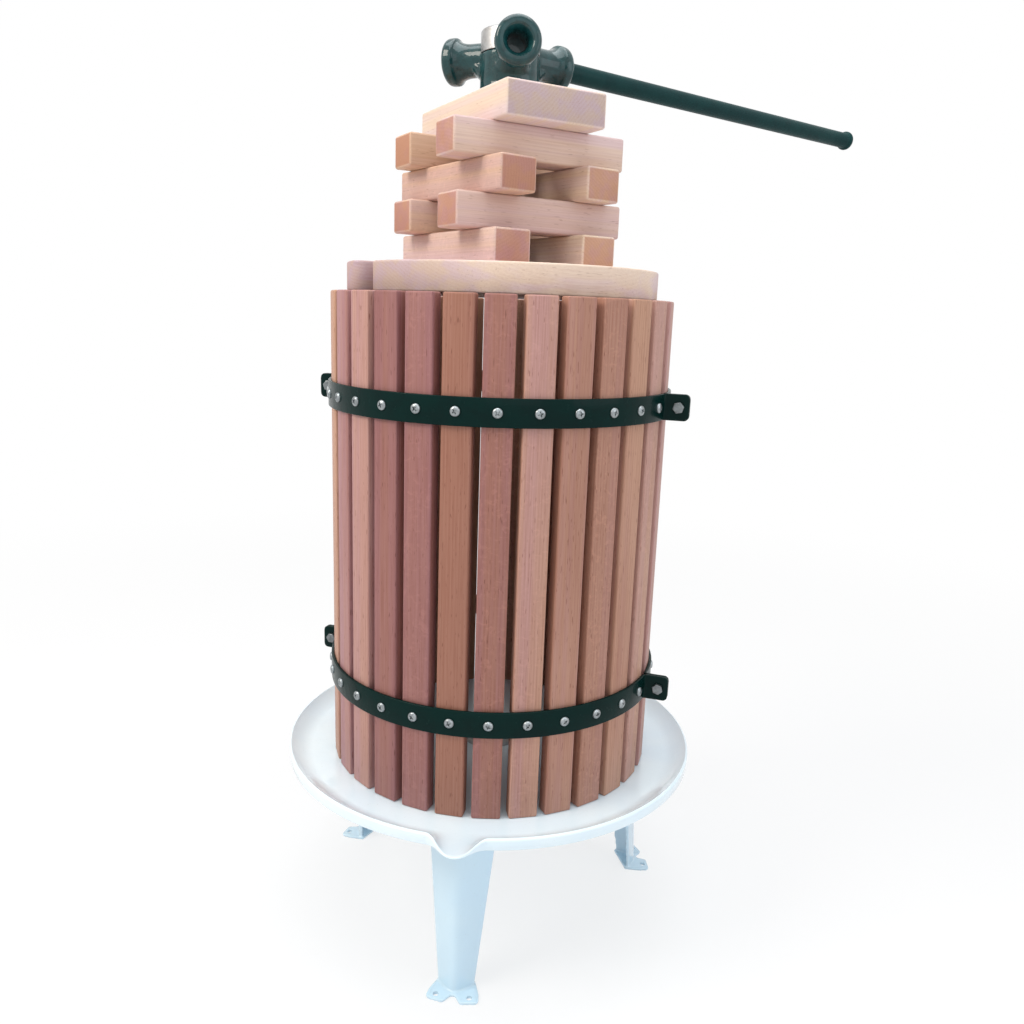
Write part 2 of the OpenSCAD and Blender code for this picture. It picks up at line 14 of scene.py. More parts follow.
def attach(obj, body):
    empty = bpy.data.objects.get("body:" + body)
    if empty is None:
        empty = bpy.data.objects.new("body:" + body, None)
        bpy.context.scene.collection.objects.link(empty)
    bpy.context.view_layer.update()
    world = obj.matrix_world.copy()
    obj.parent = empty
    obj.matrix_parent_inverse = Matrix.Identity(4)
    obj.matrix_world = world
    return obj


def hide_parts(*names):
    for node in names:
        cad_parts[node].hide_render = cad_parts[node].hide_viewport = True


bl_info = {
    "name": "Basket Press",
    "version": (1, 0, 0),
    "blender": (4, 5, 0),
    "location": "3D View > Sidebar > Press",
    "description": "Builds the slats, hoops, pan, legs, crib, head and bar of a basket press",
    "category": "Object",
}

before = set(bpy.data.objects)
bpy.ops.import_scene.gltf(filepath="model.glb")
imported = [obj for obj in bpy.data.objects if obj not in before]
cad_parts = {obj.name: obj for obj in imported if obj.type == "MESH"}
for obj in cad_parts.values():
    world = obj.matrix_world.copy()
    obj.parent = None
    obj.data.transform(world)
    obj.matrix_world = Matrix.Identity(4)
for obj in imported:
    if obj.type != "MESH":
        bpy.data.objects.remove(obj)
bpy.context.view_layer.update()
FRONT_SLATS = ["slat_%02d" % i for i in range(1, 15)]
REAR_SLATS = ["slat_%02d" % i for i in range(15, 31)]
CRIB_NODES = ["block_1_left", "block_1_right", "block_2_front", "block_2_rear",
              "block_3_left", "block_3_right", "block_4_front", "block_4_rear"]
SLAT_PITCH = 12.0  # degrees from one slat to the next


# Node trees

class Wire:
    """An output socket that takes part in sums. Each sum adds a Math node to its tree."""

    def __init__(self, tree, socket):
        self.tree, self.socket = tree, socket

    def math(self, operation, *others, first=None):
        values = ([self] if first is None else [first, self]) + list(others)
        return self.tree.add("ShaderNodeMath", {"operation": operation}, dict(enumerate(values)))

    def __add__(self, other):
        return self.math("ADD", other)

    __radd__ = __add__

    def __mul__(self, other):
        return self.math("MULTIPLY", other)

    __rmul__ = __mul__

    def __sub__(self, other):
        return self.math("SUBTRACT", other)

    def __rsub__(self, other):
        return self.math("SUBTRACT", first=other)

    def __truediv__(self, other):
        return self.math("DIVIDE", other)

    def __rtruediv__(self, other):
        return self.math("DIVIDE", first=other)

    def __pow__(self, other):
        return self.math("POWER", other)

    def __rpow__(self, other):
        return self.math("POWER", first=other)

    def other(self, name):
        return Wire(self.tree, self.socket.node.outputs[name])

    def step(self, low, high):
        """Smooth step from 0 at low to 1 at high."""
        return self.tree.add("ShaderNodeMapRange", {"interpolation_type": "SMOOTHSTEP"},
                             {"Value": self, "From Min": low, "From Max": high})


class Tree:
    """Adds nodes by type, settings and sockets; a socket is named or numbered."""

    def __init__(self, tree):
        self.tree = tree

    def feed(self, socket, value):
        if isinstance(value, Wire):
            self.tree.links.new(value.socket, socket)
        else:
            socket.default_value = value

    def add(self, kind, settings=None, sockets=None, out=0):
        node = self.tree.nodes.new(kind)
        for key, value in (settings or {}).items():
            if key == "stops":
                ramp = node.color_ramp.elements
                ramp[0].position, ramp[0].color = value[0]
                ramp[1].position, ramp[1].color = value[-1]
                for place, colour in value[1:-1]:
                    ramp.new(place).color = colour
            else:
                setattr(node, key, value)
        for key, value in (sockets or {}).items():
            self.feed(node.inputs[key], value)
        return Wire(self, node.outputs[out])

    def mix(self, amount, first, second, blend="MIX"):
        return self.add("ShaderNodeMix", {"data_type": "RGBA", "blend_type": blend},
                        {0: amount, 6: first, 7: second}, 2)

    def tinted(self, colour, tint):
        return self.mix(1.0, colour, rgba(tint), "MULTIPLY")

    def vector(self, x, y, z):
        return self.add("ShaderNodeCombineXYZ", None, {0: x, 1: y, 2: z})

    def stretch(self, vector, scale):
        return self.add("ShaderNodeVectorMath", {"operation": "MULTIPLY"}, {0: vector, 1: scale})

    def noise(self, vector, scale, detail=2.0, rough=0.5, bend=0.0):
        return self.add("ShaderNodeTexNoise", None, {"Vector": vector, "Scale": scale, "Detail": detail,
                                                     "Roughness": rough, "Distortion": bend})

    def background_rays(self):
        """1 for camera, glossy and transmitted rays, which see the pale background, and 0 for the rest."""
        ray = self.add("ShaderNodeLightPath")
        seen = ray.math("MAXIMUM", ray.other("Is Glossy Ray"))
        return seen.math("MAXIMUM", ray.other("Is Transmission Ray"))


class Finish(Tree):
    """A material with one principled shader."""

    def __init__(self, name, **sockets):
        self.material = bpy.data.materials.new(name)
        self.material.use_nodes = True
        super().__init__(self.material.node_tree)
        self.shader = self.tree.nodes["Principled BSDF"]
        self.set(**sockets)

    def set(self, **sockets):
        for key, value in sockets.items():
            self.feed(self.shader.inputs[key.replace("_", " ")], value)

    def relief(self, height, depth, strength, under=None):
        sockets = {"Height": height, "Distance": depth, "Strength": strength}
        if under is not None:
            sockets["Normal"] = under
        return self.add("ShaderNodeBump", None, sockets)

    def place(self):
        return self.add("ShaderNodeTexCoord", out="Object")


def rgba(colour, *shares):
    """The colour with alpha, its channels scaled by one share or by three."""
    red, green, blue = shares if len(shares) == 3 else (shares or (1.0,)) * 3
    return (colour[0] * red, colour[1] * green, colour[2] * blue, 1.0)


# Materials

def beech(name, tones, sheen, contrast, cut_tone=(0.93, 0.78, 0.68), lean=0.25):
    """Planed beech that follows the piece's own grain attribute: rings, fibres, flecks, and ray figure with a
    painted sheen.
    """
    m = Finish(name, Specular_IOR_Level=0.35)
    grain = m.add("ShaderNodeAttribute", {"attribute_name": "grain"}, out="Vector")
    tone = m.add("ShaderNodeAttribute", {"attribute_name": "tone"}, out="Fac")
    end = m.add("ShaderNodeAttribute", {"attribute_name": "end"}, out="Fac")

    def along_grain(scale, detail, rough, bend=0.0):
        return m.noise(m.stretch(grain, scale), 1.0, detail, rough, bend)

    across = m.add("ShaderNodeSeparateXYZ", None, {0: grain})
    from_heart = (across ** 2.0 + across.other("Y") ** 2.0) ** 0.5
    wobble = along_grain((16, 16, 1.6), 3.0, 0.55)
    rings = (from_heart * 2100.0 + wobble * 26.0).math("SINE") * 0.5 + 0.5
    broad = along_grain((22, 22, 2.2), 2.0, 0.5, 0.6)
    fibres = along_grain((950, 950, 16), 3.0, 0.65)
    fleck = along_grain((780, 780, 105), 1.0, 0.4).step(0.66, 0.76)
    rays = along_grain((330, 110, 150), 2.0, 0.6, 1.4).step(0.5, 0.72)
    with_rays = (tone * 7.3).math("FRACT").step(0.4, 0.75)
    bands = along_grain((75, 75, 0.9), 2.0, 0.5).step(0.38, 0.62)
    pores = along_grain((1500, 1500, 60), 1.0, 0.5).step(0.52, 0.7)
    stops = [(i / (len(tones) - 1), rgba(c)) for i, c in enumerate(tones)]
    body = m.add("ShaderNodeValToRGB", {"stops": stops}, {0: tone * 0.86 + broad * 0.3 - 0.08})
    yellow = ((tone * 13.7).math("FRACT") - 0.5) * 0.9 * contrast + bands * 0.5 + lean
    body = m.mix(yellow, m.tinted(body, (0.97, 0.92, 1.14)), m.tinted(body, (1.05, 1.01, 0.86)))
    dark = m.tinted(body, (0.66, 0.5, 0.43))
    streak = fibres.step(0.32, 0.78) * 0.42 + rings * 0.16 * (0.4 + broad) + wobble.step(0.5, 0.8) * 0.3
    wood = m.mix((streak * contrast).math("MINIMUM", 0.9), body, dark)
    # ray figure on the figured pieces, tinted lighter: real wood figure with a painted sheen
    wood = m.mix(rays * with_rays * 0.3 * contrast, wood, m.tinted(body, (1.32, 1.28, 1.24)))
    wood = m.mix(fleck * 0.5 * contrast, wood, m.tinted(dark, (0.62, 0.5, 0.45)))
    cut = m.mix(pores * 0.4 + rings * 0.15, m.tinted(body, cut_tone), m.tinted(dark, (0.72, 0.55, 0.45)))
    m.set(Base_Color=m.mix(end * 0.85, wood, cut),
          Roughness=(fibres * 0.16 + sheen + end * 0.14).math("MINIMUM", 0.85),
          Normal=m.relief(fibres * 0.5 + fleck * -0.7 + pores * end * -0.6, 0.00012, 0.75))
    return m.material


def gloss_paint(name, colour, lumps, peel, rough):
    """Thick gloss paint: a slow ripple, fine orange peel and a few dull patches."""
    m = Finish(name, Coat_Roughness=0.06, Coat_IOR=1.5, Specular_IOR_Level=0.05)
    at = m.place()
    slow = m.noise(at, 42.0, 3.0, 0.6, 0.4)
    fine = m.noise(at, 620.0, 2.0, 0.5)
    dust = m.noise(at, 150.0, 4.0, 0.7)
    shade = m.mix(slow.step(0.35, 0.7) * 0.6, rgba(colour), rgba(colour, 0.55, 0.62, 0.66))
    m.set(Base_Color=m.mix(dust.step(0.6, 0.8) * 0.12, shade, rgba([c * 2.2 + 0.01 for c in colour])),
          Roughness=dust * 0.18 + rough, Coat_Weight=slow * 0.13,
          Normal=m.relief(fine, 0.00005 * peel, 0.6, m.relief(slow, lumps, 0.9)))
    return m.material


def cast_paint(name, colour):
    """Gloss paint over a sand casting: lumps under the gloss and pooled edges."""
    m = Finish(name, Coat_Roughness=0.04, Coat_IOR=1.5, Specular_IOR_Level=0.12)
    at = m.place()
    lumps = m.noise(at, 95.0, 4.0, 0.62, 0.5)
    sand = m.noise(at, 430.0, 3.0, 0.6)
    pits = m.add("ShaderNodeTexVoronoi", {"feature": "SMOOTH_F1"}, {"Vector": at, "Scale": 260.0})
    m.set(Base_Color=m.mix(lumps.step(0.3, 0.75), rgba(colour), rgba(colour, 0.5)),
          Roughness=sand * 0.2 + 0.2, Coat_Weight=0.8 - sand * 0.25,
          Normal=m.relief(sand * 0.6 + pits * 0.5, 0.00022, 0.7, m.relief(lumps, 0.0011, 0.85)))
    return m.material


def enamel(name, colour):
    """Stoved white enamel: a faint cool cast that pools, soft ripple and tiny specks."""
    m = Finish(name, Coat_Roughness=0.04, Coat_IOR=1.52)
    at = m.place()
    slow = m.noise(at, 14.0, 2.0, 0.5, 0.3)
    ripple = m.noise(at, 70.0, 2.0, 0.5)
    peel = m.noise(at, 480.0, 2.0, 0.5)
    speck = m.noise(at, 900.0, 0.0).step(0.8, 0.86)
    white = m.mix(slow.step(0.3, 0.7), rgba(colour), rgba(colour, 0.94, 0.97, 1.0))
    m.set(Base_Color=m.mix(speck * 0.35, white, (0.45, 0.46, 0.47, 1)),
          Roughness=ripple * 0.1 + 0.14, Coat_Weight=0.8 - ripple * 0.2,
          Normal=m.relief(peel, 0.00004, 0.5, m.relief(ripple, 0.00035, 0.6)))
    return m.material


def plated(name, colour, rough):
    """Zinc plate: cloudy, with fine scratches and dull spots."""
    m = Finish(name, Metallic=1.0)
    at = m.place()
    cloud = m.noise(at, 210.0, 3.0, 0.6, 0.6)
    grit = m.noise(m.stretch(at, (1.0, 1.0, 5.0)), 900.0, 3.0, 0.7)
    shade = m.mix(cloud.step(0.3, 0.75), rgba(colour), rgba(colour, 0.62))
    m.set(Base_Color=m.mix(grit.step(0.62, 0.78) * 0.3, shade, rgba(colour, 0.35)),
          Roughness=cloud * 0.18 + rough + grit * 0.08, Normal=m.relief(grit, 0.00003, 0.6))
    return m.material


def turned_steel(name, colour, rough):
    """Steel from the lathe: fine rings up the axis, a little oil in the grooves."""
    m = Finish(name, Metallic=1.0)
    at = m.place()
    rise = m.add("ShaderNodeSeparateXYZ", None, {0: at}, "Z")
    rings = (rise * 11000.0 + m.noise(at, 60.0) * 5.0).math("SINE") * 0.5 + 0.5
    oil = m.noise(at, 55.0, 3.0, 0.6, 0.8)
    m.set(Base_Color=m.mix(oil.step(0.42, 0.75) * 0.6, rgba(colour), rgba(colour, 0.5, 0.46, 0.42)),
          Roughness=oil * 0.2 + rough, Normal=m.relief(rings, 0.00002, 0.35))
    return m.material


# Mesh makers

def at_azimuth(azimuth, x=0.0, z=0.0):
    """Local +X turned to the azimuth, after a shift out and up."""
    return Matrix.Rotation(radians(azimuth - 90), 4, "Z") @ Matrix.Translation((x, 0, z))


def lying(azimuth, x=0.0, z=0.0):
    """Local +Z laid along the azimuth."""
    return at_azimuth(azimuth, x, z) @ Matrix.Rotation(pi / 2, 4, "Y")


def as_mesh(bm):
    """The same faces as a mesh; the bmesh goes."""
    mesh = bpy.data.meshes.new("scratch")
    bm.to_mesh(mesh)
    bm.free()
    return mesh


def as_bmesh(mesh):
    bm = bmesh.new()
    bm.from_mesh(mesh)
    return bm


def piece(name, mesh, material, body, nodes, crease=40):
    """A finished object: shaded, painted, riding on its body and standing for its CAD nodes."""
    if isinstance(mesh, bmesh.types.BMesh):
        mesh = as_mesh(mesh)
    mesh.name = name
    if material is not None:
        mesh.materials.clear()
        mesh.materials.append(material)
    mesh.shade_smooth()
    mesh.set_sharp_from_angle(angle=radians(crease))
    thing = bpy.data.objects.new(name, mesh)
    bpy.context.scene.collection.objects.link(thing)
    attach(thing, body)
    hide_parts(*nodes)


def shell(verts, faces, matrix=None):
    bm = bmesh.new()
    points = [bm.verts.new(v) for v in verts]
    for face in faces:
        bm.faces.new([points[i] for i in face])
    bmesh.ops.recalc_face_normals(bm, faces=bm.faces)
    if matrix is not None:
        bmesh.ops.transform(bm, matrix=matrix, verts=bm.verts)
    return bm


def joined(*parts):
    """One mesh out of several; each part is freed."""
    whole = bmesh.new()
    for part in parts:
        scratch = as_mesh(part)
        whole.from_mesh(scratch)
        bpy.data.meshes.remove(scratch)
    return whole


def turned(profile, segments=96, matrix=None):
    """A profile of (radius, height) turned about Z; ends on the axis are closed."""
    verts, rows, faces = [], [], []
    for r, z in profile:
        n = 1 if r < 1e-7 else segments
        rows.append([len(verts) + k for k in range(n)])
        verts += [(r * cos(2 * pi * k / segments), r * sin(2 * pi * k / segments), z) for k in range(n)]
    for low, high in zip(rows, rows[1:] + ([rows[0]] if profile[0][0] > 1e-7 else [])):
        for k in range(segments):
            j = (k + 1) % segments
            ring = [low[k % len(low)], low[j % len(low)], high[j % len(high)], high[k % len(high)]]
            ring = [v for i, v in enumerate(ring) if v not in ring[:i]]
            if len(ring) > 2:
                faces.append(ring)
    return shell(verts, faces, matrix)


def rod(radius, low, high, segments, matrix=None):
    return turned([(0, low), (radius, low), (radius, high), (0, high)], segments, matrix)


def loft(rings, matrix=None, closed=False):
    """Faces between rings of equal count; the ends are capped unless the loft closes on itself."""
    n, verts = len(rings[0]), [p for ring in rings for p in ring]
    faces = []
    for a, b in zip(range(len(rings)), list(range(1, len(rings))) + ([0] if closed else [])):
        faces += [[a * n + k, a * n + (k + 1) % n, b * n + (k + 1) % n, b * n + k] for k in range(n)]
    if not closed:
        faces += [list(range(n)), [(len(rings) - 1) * n + k for k in range(n)]]
    return shell(verts, faces, matrix)


def arc(cx, cy, r, start, stop, steps):
    angles = [radians(start + (stop - start) * i / steps) for i in range(steps + 1)]
    return [(cx + r * cos(a), cy + r * sin(a)) for a in angles]


def plate_of(outline, low, high, edge, matrix=None):
    """A flat outline raised from low to high, with its rims rounded."""
    bm = bmesh.new()
    face = bm.faces.new([bm.verts.new((x, y, low)) for x, y in outline])
    raised = bmesh.ops.extrude_face_region(bm, geom=[face])["geom"]
    raised = [v for v in raised if isinstance(v, bmesh.types.BMVert)]
    bmesh.ops.translate(bm, vec=(0, 0, high - low), verts=raised)
    bmesh.ops.recalc_face_normals(bm, faces=bm.faces)
    if edge:
        rims = [e for e in bm.edges
                if abs(e.verts[0].co.z - e.verts[1].co.z) < 1e-7 or e.calc_face_angle(0) > 0.7]
        bmesh.ops.bevel(bm, geom=rims, offset=edge, segments=3, profile=0.5, affect="EDGES", clamp_overlap=True)
    if matrix is not None:
        bmesh.ops.transform(bm, matrix=matrix, verts=bm.verts)
    return bm


def timber(size, edge, along):
    """Planed timber, centred, with eased edges and the grain along one axis."""
    bm = bmesh.new()
    bmesh.ops.create_cube(bm, size=1.0)
    bmesh.ops.scale(bm, vec=size, verts=bm.verts)
    bmesh.ops.bevel(bm, geom=bm.edges[:], offset=edge, segments=3, profile=0.5, affect="EDGES")
    return grained(as_mesh(bm), along, size[along] / 2)


def grained(mesh, along, half, back=None, tone=None, shift=(0, 0, 0), blend=0.00001):
    """Writes the grain, end and tone attributes that the wood finish reads."""
    places, ends = [], []
    order = {0: (1, 2, 0), 2: (0, 1, 2)}[along]
    for v in mesh.vertices:
        local = back @ v.co if back else v.co
        places += [local[i] + s for i, s in zip(order, shift)]
        ends.append(min(1.0, max(0.0, (abs(local[along]) - half) / blend + 1.0)))
    mesh.attributes.new("grain", "FLOAT_VECTOR", "POINT").data.foreach_set("vector", places)
    mesh.attributes.new("end", "FLOAT", "POINT").data.foreach_set("value", ends)
    if tone is not None:
        mesh.attributes.new("tone", "FLOAT", "POINT").data.foreach_set("value", [tone] * len(ends))
    return mesh


def discard(thing):
    mesh = thing.data
    bpy.data.objects.remove(thing)
    bpy.data.meshes.remove(mesh)


def settled(thing):
    """The evaluated mesh of an object; the object and its modifiers go."""
    depsgraph = bpy.context.evaluated_depsgraph_get()
    mesh = bpy.data.meshes.new_from_object(thing.evaluated_get(depsgraph), preserve_all_data_layers=True,
                                           depsgraph=depsgraph)
    discard(thing)
    return mesh


def temporary(source):
    """An object of a mesh or bmesh, for a modifier to work on or with."""
    mesh = as_mesh(source) if isinstance(source, bmesh.types.BMesh) else source
    thing = bpy.data.objects.new("scratch", mesh)
    bpy.context.scene.collection.objects.link(thing)
    return thing


def cut(body, cutter, crossing=False):
    """A body less its cutter, as a mesh."""
    thing, tool = temporary(body), temporary(cutter)
    knife = thing.modifiers.new("cut", "BOOLEAN")
    knife.object, knife.operation, knife.solver, knife.use_self = tool, "DIFFERENCE", "EXACT", crossing
    mesh = settled(thing)
    discard(tool)
    return mesh


def poured(mesh, voxel, rounds):
    """Shells run into one skin with soft fillets, as paint and casting leave them."""
    thing = temporary(mesh)
    skin = thing.modifiers.new("skin", "REMESH")
    skin.mode, skin.voxel_size, skin.use_smooth_shade = "VOXEL", voxel, True
    soft = thing.modifiers.new("soft", "SMOOTH")
    soft.factor, soft.iterations = 0.5, rounds
    return settled(thing)


# Geometry Nodes

def node_group(name, sockets):
    """A geometry tree with named inputs, given as "name type, name type", and the inputs' wires."""
    group = bpy.data.node_groups.new(name, "GeometryNodeTree")
    group.interface.new_socket("Geometry", in_out="OUTPUT", socket_type="NodeSocketGeometry")
    labels = [part.rsplit(" ", 1) for part in sockets.split(", ")]
    for label, kind in labels:
        group.interface.new_socket(label, in_out="INPUT", socket_type="NodeSocket" + kind)
    tree = Tree(group)
    start = group.nodes.new("NodeGroupInput")
    return group, tree, {label: Wire(tree, start.outputs[label]) for label, kind in labels}


def chance(tree, high, seed, **more):
    """A random number from 0 to high for each element."""
    return tree.add("FunctionNodeRandomValue", {"data_type": "FLOAT"},
                    {2: 0.0, 3: high, "Seed": seed, **more}, 1)


def stored(tree, geometry, name, value, kind, domain="INSTANCE"):
    """The geometry with a named attribute written on it."""
    return tree.add("GeometryNodeStoreNamedAttribute", {"data_type": kind, "domain": domain},
                    {"Geometry": geometry, "Name": name, "Value": value})


def finish_group(tree, spot, count, turn, w):
    """Instances at the spots, with a random tone and grain place each, made real and given the finish."""
    line = tree.add("GeometryNodeMeshLine", None, {"Count": count})
    points = tree.add("GeometryNodeSetPosition", None, {"Geometry": line, "Position": spot})
    blank = tree.add("GeometryNodeObjectInfo", {"transform_space": "ORIGINAL"},
                     {"Object": w["Piece"]}, "Geometry")
    many = tree.add("GeometryNodeInstanceOnPoints", None,
                    {"Points": points, "Instance": blank, "Rotation": turn})
    index = tree.add("GeometryNodeInputIndex")
    shift = tree.add("FunctionNodeRandomValue", {"data_type": "FLOAT_VECTOR"},
                     {0: (-0.12, -0.12, -3.0), 1: (0.12, 0.12, 3.0), "ID": index, "Seed": w["Seed"] + 7.0})
    many = stored(tree, many, "tone", chance(tree, 1.0, w["Seed"], ID=index), "FLOAT")
    many = stored(tree, many, "shift", shift, "FLOAT_VECTOR")
    real = tree.add("GeometryNodeRealizeInstances", None, {"Geometry": many})
    own, moved = (tree.add("GeometryNodeInputNamedAttribute", {"data_type": "FLOAT_VECTOR"}, {"Name": name})
                  for name in ("grain", "shift"))
    total = tree.add("ShaderNodeVectorMath", {"operation": "ADD"}, {0: own, 1: moved})
    real = stored(tree, real, "grain", total, "FLOAT_VECTOR", "POINT")
    real = tree.add("GeometryNodeSetMaterial", None, {"Geometry": real, "Material": w["Finish"]})
    tree.feed(tree.tree.nodes.new("NodeGroupOutput").inputs["Geometry"], real)


def ring_group():
    """Pieces round the screw axis, in levels one above another."""
    group, tree, w = node_group("Ring of pieces", (
        "Piece Object, Finish Material, Count Int, Levels Int, First azimuth Float, Pitch Float, "
        "Radius Float, Height Float, Level step Float, Spin Float, Seed Int"))
    index = tree.add("GeometryNodeInputIndex")
    level = (index / w["Count"] + 0.0001).math("FLOOR")
    azimuth = (w["First azimuth"] + w["Pitch"] * (index - level * w["Count"])) * (pi / 180)
    spot = tree.vector(w["Radius"] * azimuth.math("SINE"), w["Radius"] * azimuth.math("COSINE") * -1.0,
                       w["Height"] + w["Level step"] * level)
    spin = chance(tree, w["Spin"], w["Seed"])
    finish_group(tree, spot, w["Count"] * w["Levels"], tree.vector(spin, 0.0, azimuth - pi / 2), w)
    return group


def level_and_side(tree):
    """For points in pairs, the number of the pair, and 0 or 1 within it."""
    index = tree.add("GeometryNodeInputIndex")
    level = (index * 0.5 + 0.0001).math("FLOOR")
    return level, index - level * 2.0


def lug_group():
    """A piece at each lug: two across the basket on two levels."""
    group, tree, w = node_group("Pieces at the lugs", (
        "Piece Object, Finish Material, Azimuth Float, Radius Float, Side step Float, Low Float, "
        "High Float, Spin Float, Seed Int"))
    level, side = level_and_side(tree)
    azimuth = w["Azimuth"] * (pi / 180)
    along, aside = w["Radius"] * (side * 2.0 - 1.0), w["Side step"]
    # local +X lies on the azimuth, local +Y a quarter turn on
    x = along * azimuth.math("SINE") + aside * azimuth.math("COSINE")
    y = aside * azimuth.math("SINE") - along * azimuth.math("COSINE")
    spot = tree.vector(x, y, w["Low"] + (w["High"] - w["Low"]) * level)
    finish_group(tree, spot, 4, tree.vector(0.0, chance(tree, w["Spin"], w["Seed"]), azimuth - pi / 2), w)
    return group


def crib_group():
    """Layers of two blocks, each layer crossing the one below, with its own yaw."""
    group, tree, w = node_group("Crib of blocks", (
        "Piece Object, Finish Material, Spacing Float, Foot Float, Layer height Float, Azimuth Float, "
        "Yaw 1 Float, Yaw 2 Float, Yaw 3 Float, Yaw 4 Float, Seed Int"))
    layer, side = level_and_side(tree)
    crossing = (layer * 0.5).math("FRACT") * 2.0
    yaw = sum(layer.math("COMPARE", float(i), 0.1) * w["Yaw %d" % (i + 1)] for i in range(4))
    azimuth = (w["Azimuth"] - 90.0 + crossing * 90.0 + yaw) * (pi / 180)
    aside = (side - 0.5) * w["Spacing"]
    spot = tree.vector(aside * azimuth.math("COSINE"), aside * azimuth.math("SINE"),
                       w["Foot"] + w["Layer height"] * (layer + 0.5))
    finish_group(tree, spot, 8, tree.vector(0.0, 0.0, azimuth - pi / 2), w)
    return group


def grown(group, blank, **values):
    """The mesh that a tree grows from a blank, with its named inputs set."""
    tool, carrier = temporary(blank), temporary(bpy.data.meshes.new("carrier"))
    grow = carrier.modifiers.new("grow", "NODES")
    grow.node_group = group
    values["Piece"] = tool
    for item in group.interface.items_tree:
        if item.in_out == "INPUT":
            grow[item.identifier] = values[item.name.replace(" ", "_")]
    mesh = settled(carrier)
    discard(tool)
    return mesh


# Sizes and colours that a user would change

def length(name, value, about):
    return FloatProperty(name=name, description=about, default=value, min=0.0, unit="LENGTH",
                         subtype="DISTANCE")


def angle(name, value, about):
    return FloatProperty(name=name, description=about, default=value, min=-360.0, max=360.0)


def colour(name, value, about):
    return FloatVectorProperty(name=name, description=about, default=value, min=0.0, max=1.0, size=3,
                               subtype="COLOR")


class PressBasket(bpy.types.PropertyGroup):
    slat_length: length("Slat length", 0.495, "Length of a slat")
    slat_width: length("Slat width", 0.0283, "Width of a slat")
    slat_thickness: length("Slat thickness", 0.015, "Thickness of a slat")
    slat_edge: length("Slat edge", 0.0018, "Rounding of the slat edges")
    slat_face: length("Slat face", 0.174858, "Distance of the slats' outer faces from the screw axis")
    foot: length("Foot", 0.187, "Height of the slats' feet")
    turn: angle("Turn", -100.0, "Azimuth square to the pull of the front half")
    rear_turn: angle("Rear turn", 1.6, "Turn of the rear slats against the front ones")
    joint: length("Joint", 0.018491, "Distance of the joint between the halves from the screw axis")
    hoop_radius: length("Hoop radius", 0.1753, "Inner radius of a hoop")
    hoop_bar: length("Hoop bar", 0.0032, "Thickness of the hoop bar")
    hoop_height: length("Hoop height", 0.026, "Height of the hoop bar")
    hoop_low: length("Lower hoop", 0.2865, "Height of the lower hoop's middle")
    hoop_high: length("Upper hoop", 0.581, "Height of the upper hoop's middle")
    lug: length("Lug", 0.0245, "How far a lug stands out from its hoop")
    lug_corner: length("Lug corner", 0.005, "Radius of a lug's outer corners")
    lug_bend: length("Lug bend", 0.0025, "Inside radius of the bend into a lug")
    lug_gap: length("Lug gap", 0.0003, "Gap between the two lugs of a joint")
    lug_bolt: length("Lug bolt", 0.014, "Distance of a lug bolt from the hoop's outer face")


class PressStand(bpy.types.PropertyGroup):
    floor: length("Pan floor", 0.187, "Height of the pan's floor")
    flat: length("Flat floor", 0.2, "Radius of the pan's flat floor")
    rim: length("Rim", 0.223, "Radius of the rim's crest")
    rim_height: length("Rim height", 0.011, "Height of the rim above the floor")
    skirt: length("Skirt", 0.0115, "Depth of the turned-down skirt")
    sheet: length("Pan sheet", 0.002, "Thickness of the pan's sheet")
    spout: length("Spout", 0.0196, "How far the spout reaches beyond the rim")
    spout_base: length("Spout base", 0.031, "Half the width of the spout where it leaves the rim")
    spout_azimuth: angle("Spout azimuth", 1.5, "Azimuth of the spout")
    leg_azimuth: angle("Leg azimuth", 112.0, "Azimuth of the right leg; the left one mirrors it")
    leg_sheet: length("Leg sheet", 0.003, "Thickness of the legs' sheet")


class PressStack(bpy.types.PropertyGroup):
    plate_height: length("Plate height", 0.028, "Thickness of the press plates")
    plate_foot: length("Plate foot", 0.682, "Height of the plates' undersides")
    plate_radius: length("Plate radius", 0.152258, "Radius of a press plate")
    plate_shift: length("Plate shift", 0.007, "Offset of each plate along its chord")
    chord: angle("Chord", 126.0, "Azimuth of the line between the plates")
    block_length: length("Block length", 0.185, "Length of a pressing block")
    block_width: length("Block width", 0.04, "Width of a pressing block")
    block_height: length("Block height", 0.0315, "Height of a pressing block")
    block_gap: length("Block gap", 0.06, "Open width between the blocks of a layer")
    block_edge: length("Block edge", 0.0025, "Rounding of the block edges")
    crib: angle("Crib", 129.0, "Azimuth along which the crossing layers lie")
    top_length: length("Top length", 0.19, "Length of the top block")
    top_width: length("Top width", 0.106, "Width of the top block")


class PressHead(bpy.types.PropertyGroup):
    foot: length("Head foot", 0.86752, "Height of the head's underside")
    hub: length("Hub", 0.029, "Radius of the hub")
    hub_height: length("Hub height", 0.044, "Height of the hub under the collar")
    collar: length("Collar", 0.021, "Height of the collar above the hub")
    socket: length("Socket height", 0.0415, "Height of the socket axes above the head's underside")
    arm: length("Arm", 0.0155, "Radius of a socket arm")
    mouth: length("Mouth", 0.022, "Radius of a socket's flared mouth")
    reach: length("Reach", 0.067, "Distance of the mouths from the screw axis")
    bore: length("Bore", 0.0096, "Radius of the socket bores")
    inner: length("Bore end", 0.034, "Distance of the bores' ends from the screw axis")
    bar_azimuth: angle("Bar azimuth", 135.0, "Azimuth of the lever bar")
    bar: length("Bar", 0.0095, "Radius of the lever bar")
    bar_length: length("Bar length", 0.541, "Length of the lever bar")
    bar_rim: length("Bar rim", 0.01175, "Radius of the rim on the bar's end")
    screw: length("Screw", 0.015, "Radius of the press screw")
    lead: length("Lead", 0.006, "Rise of the screw's thread in one turn")
    screw_top: length("Screw top", 0.9345, "Height of the screw's top")


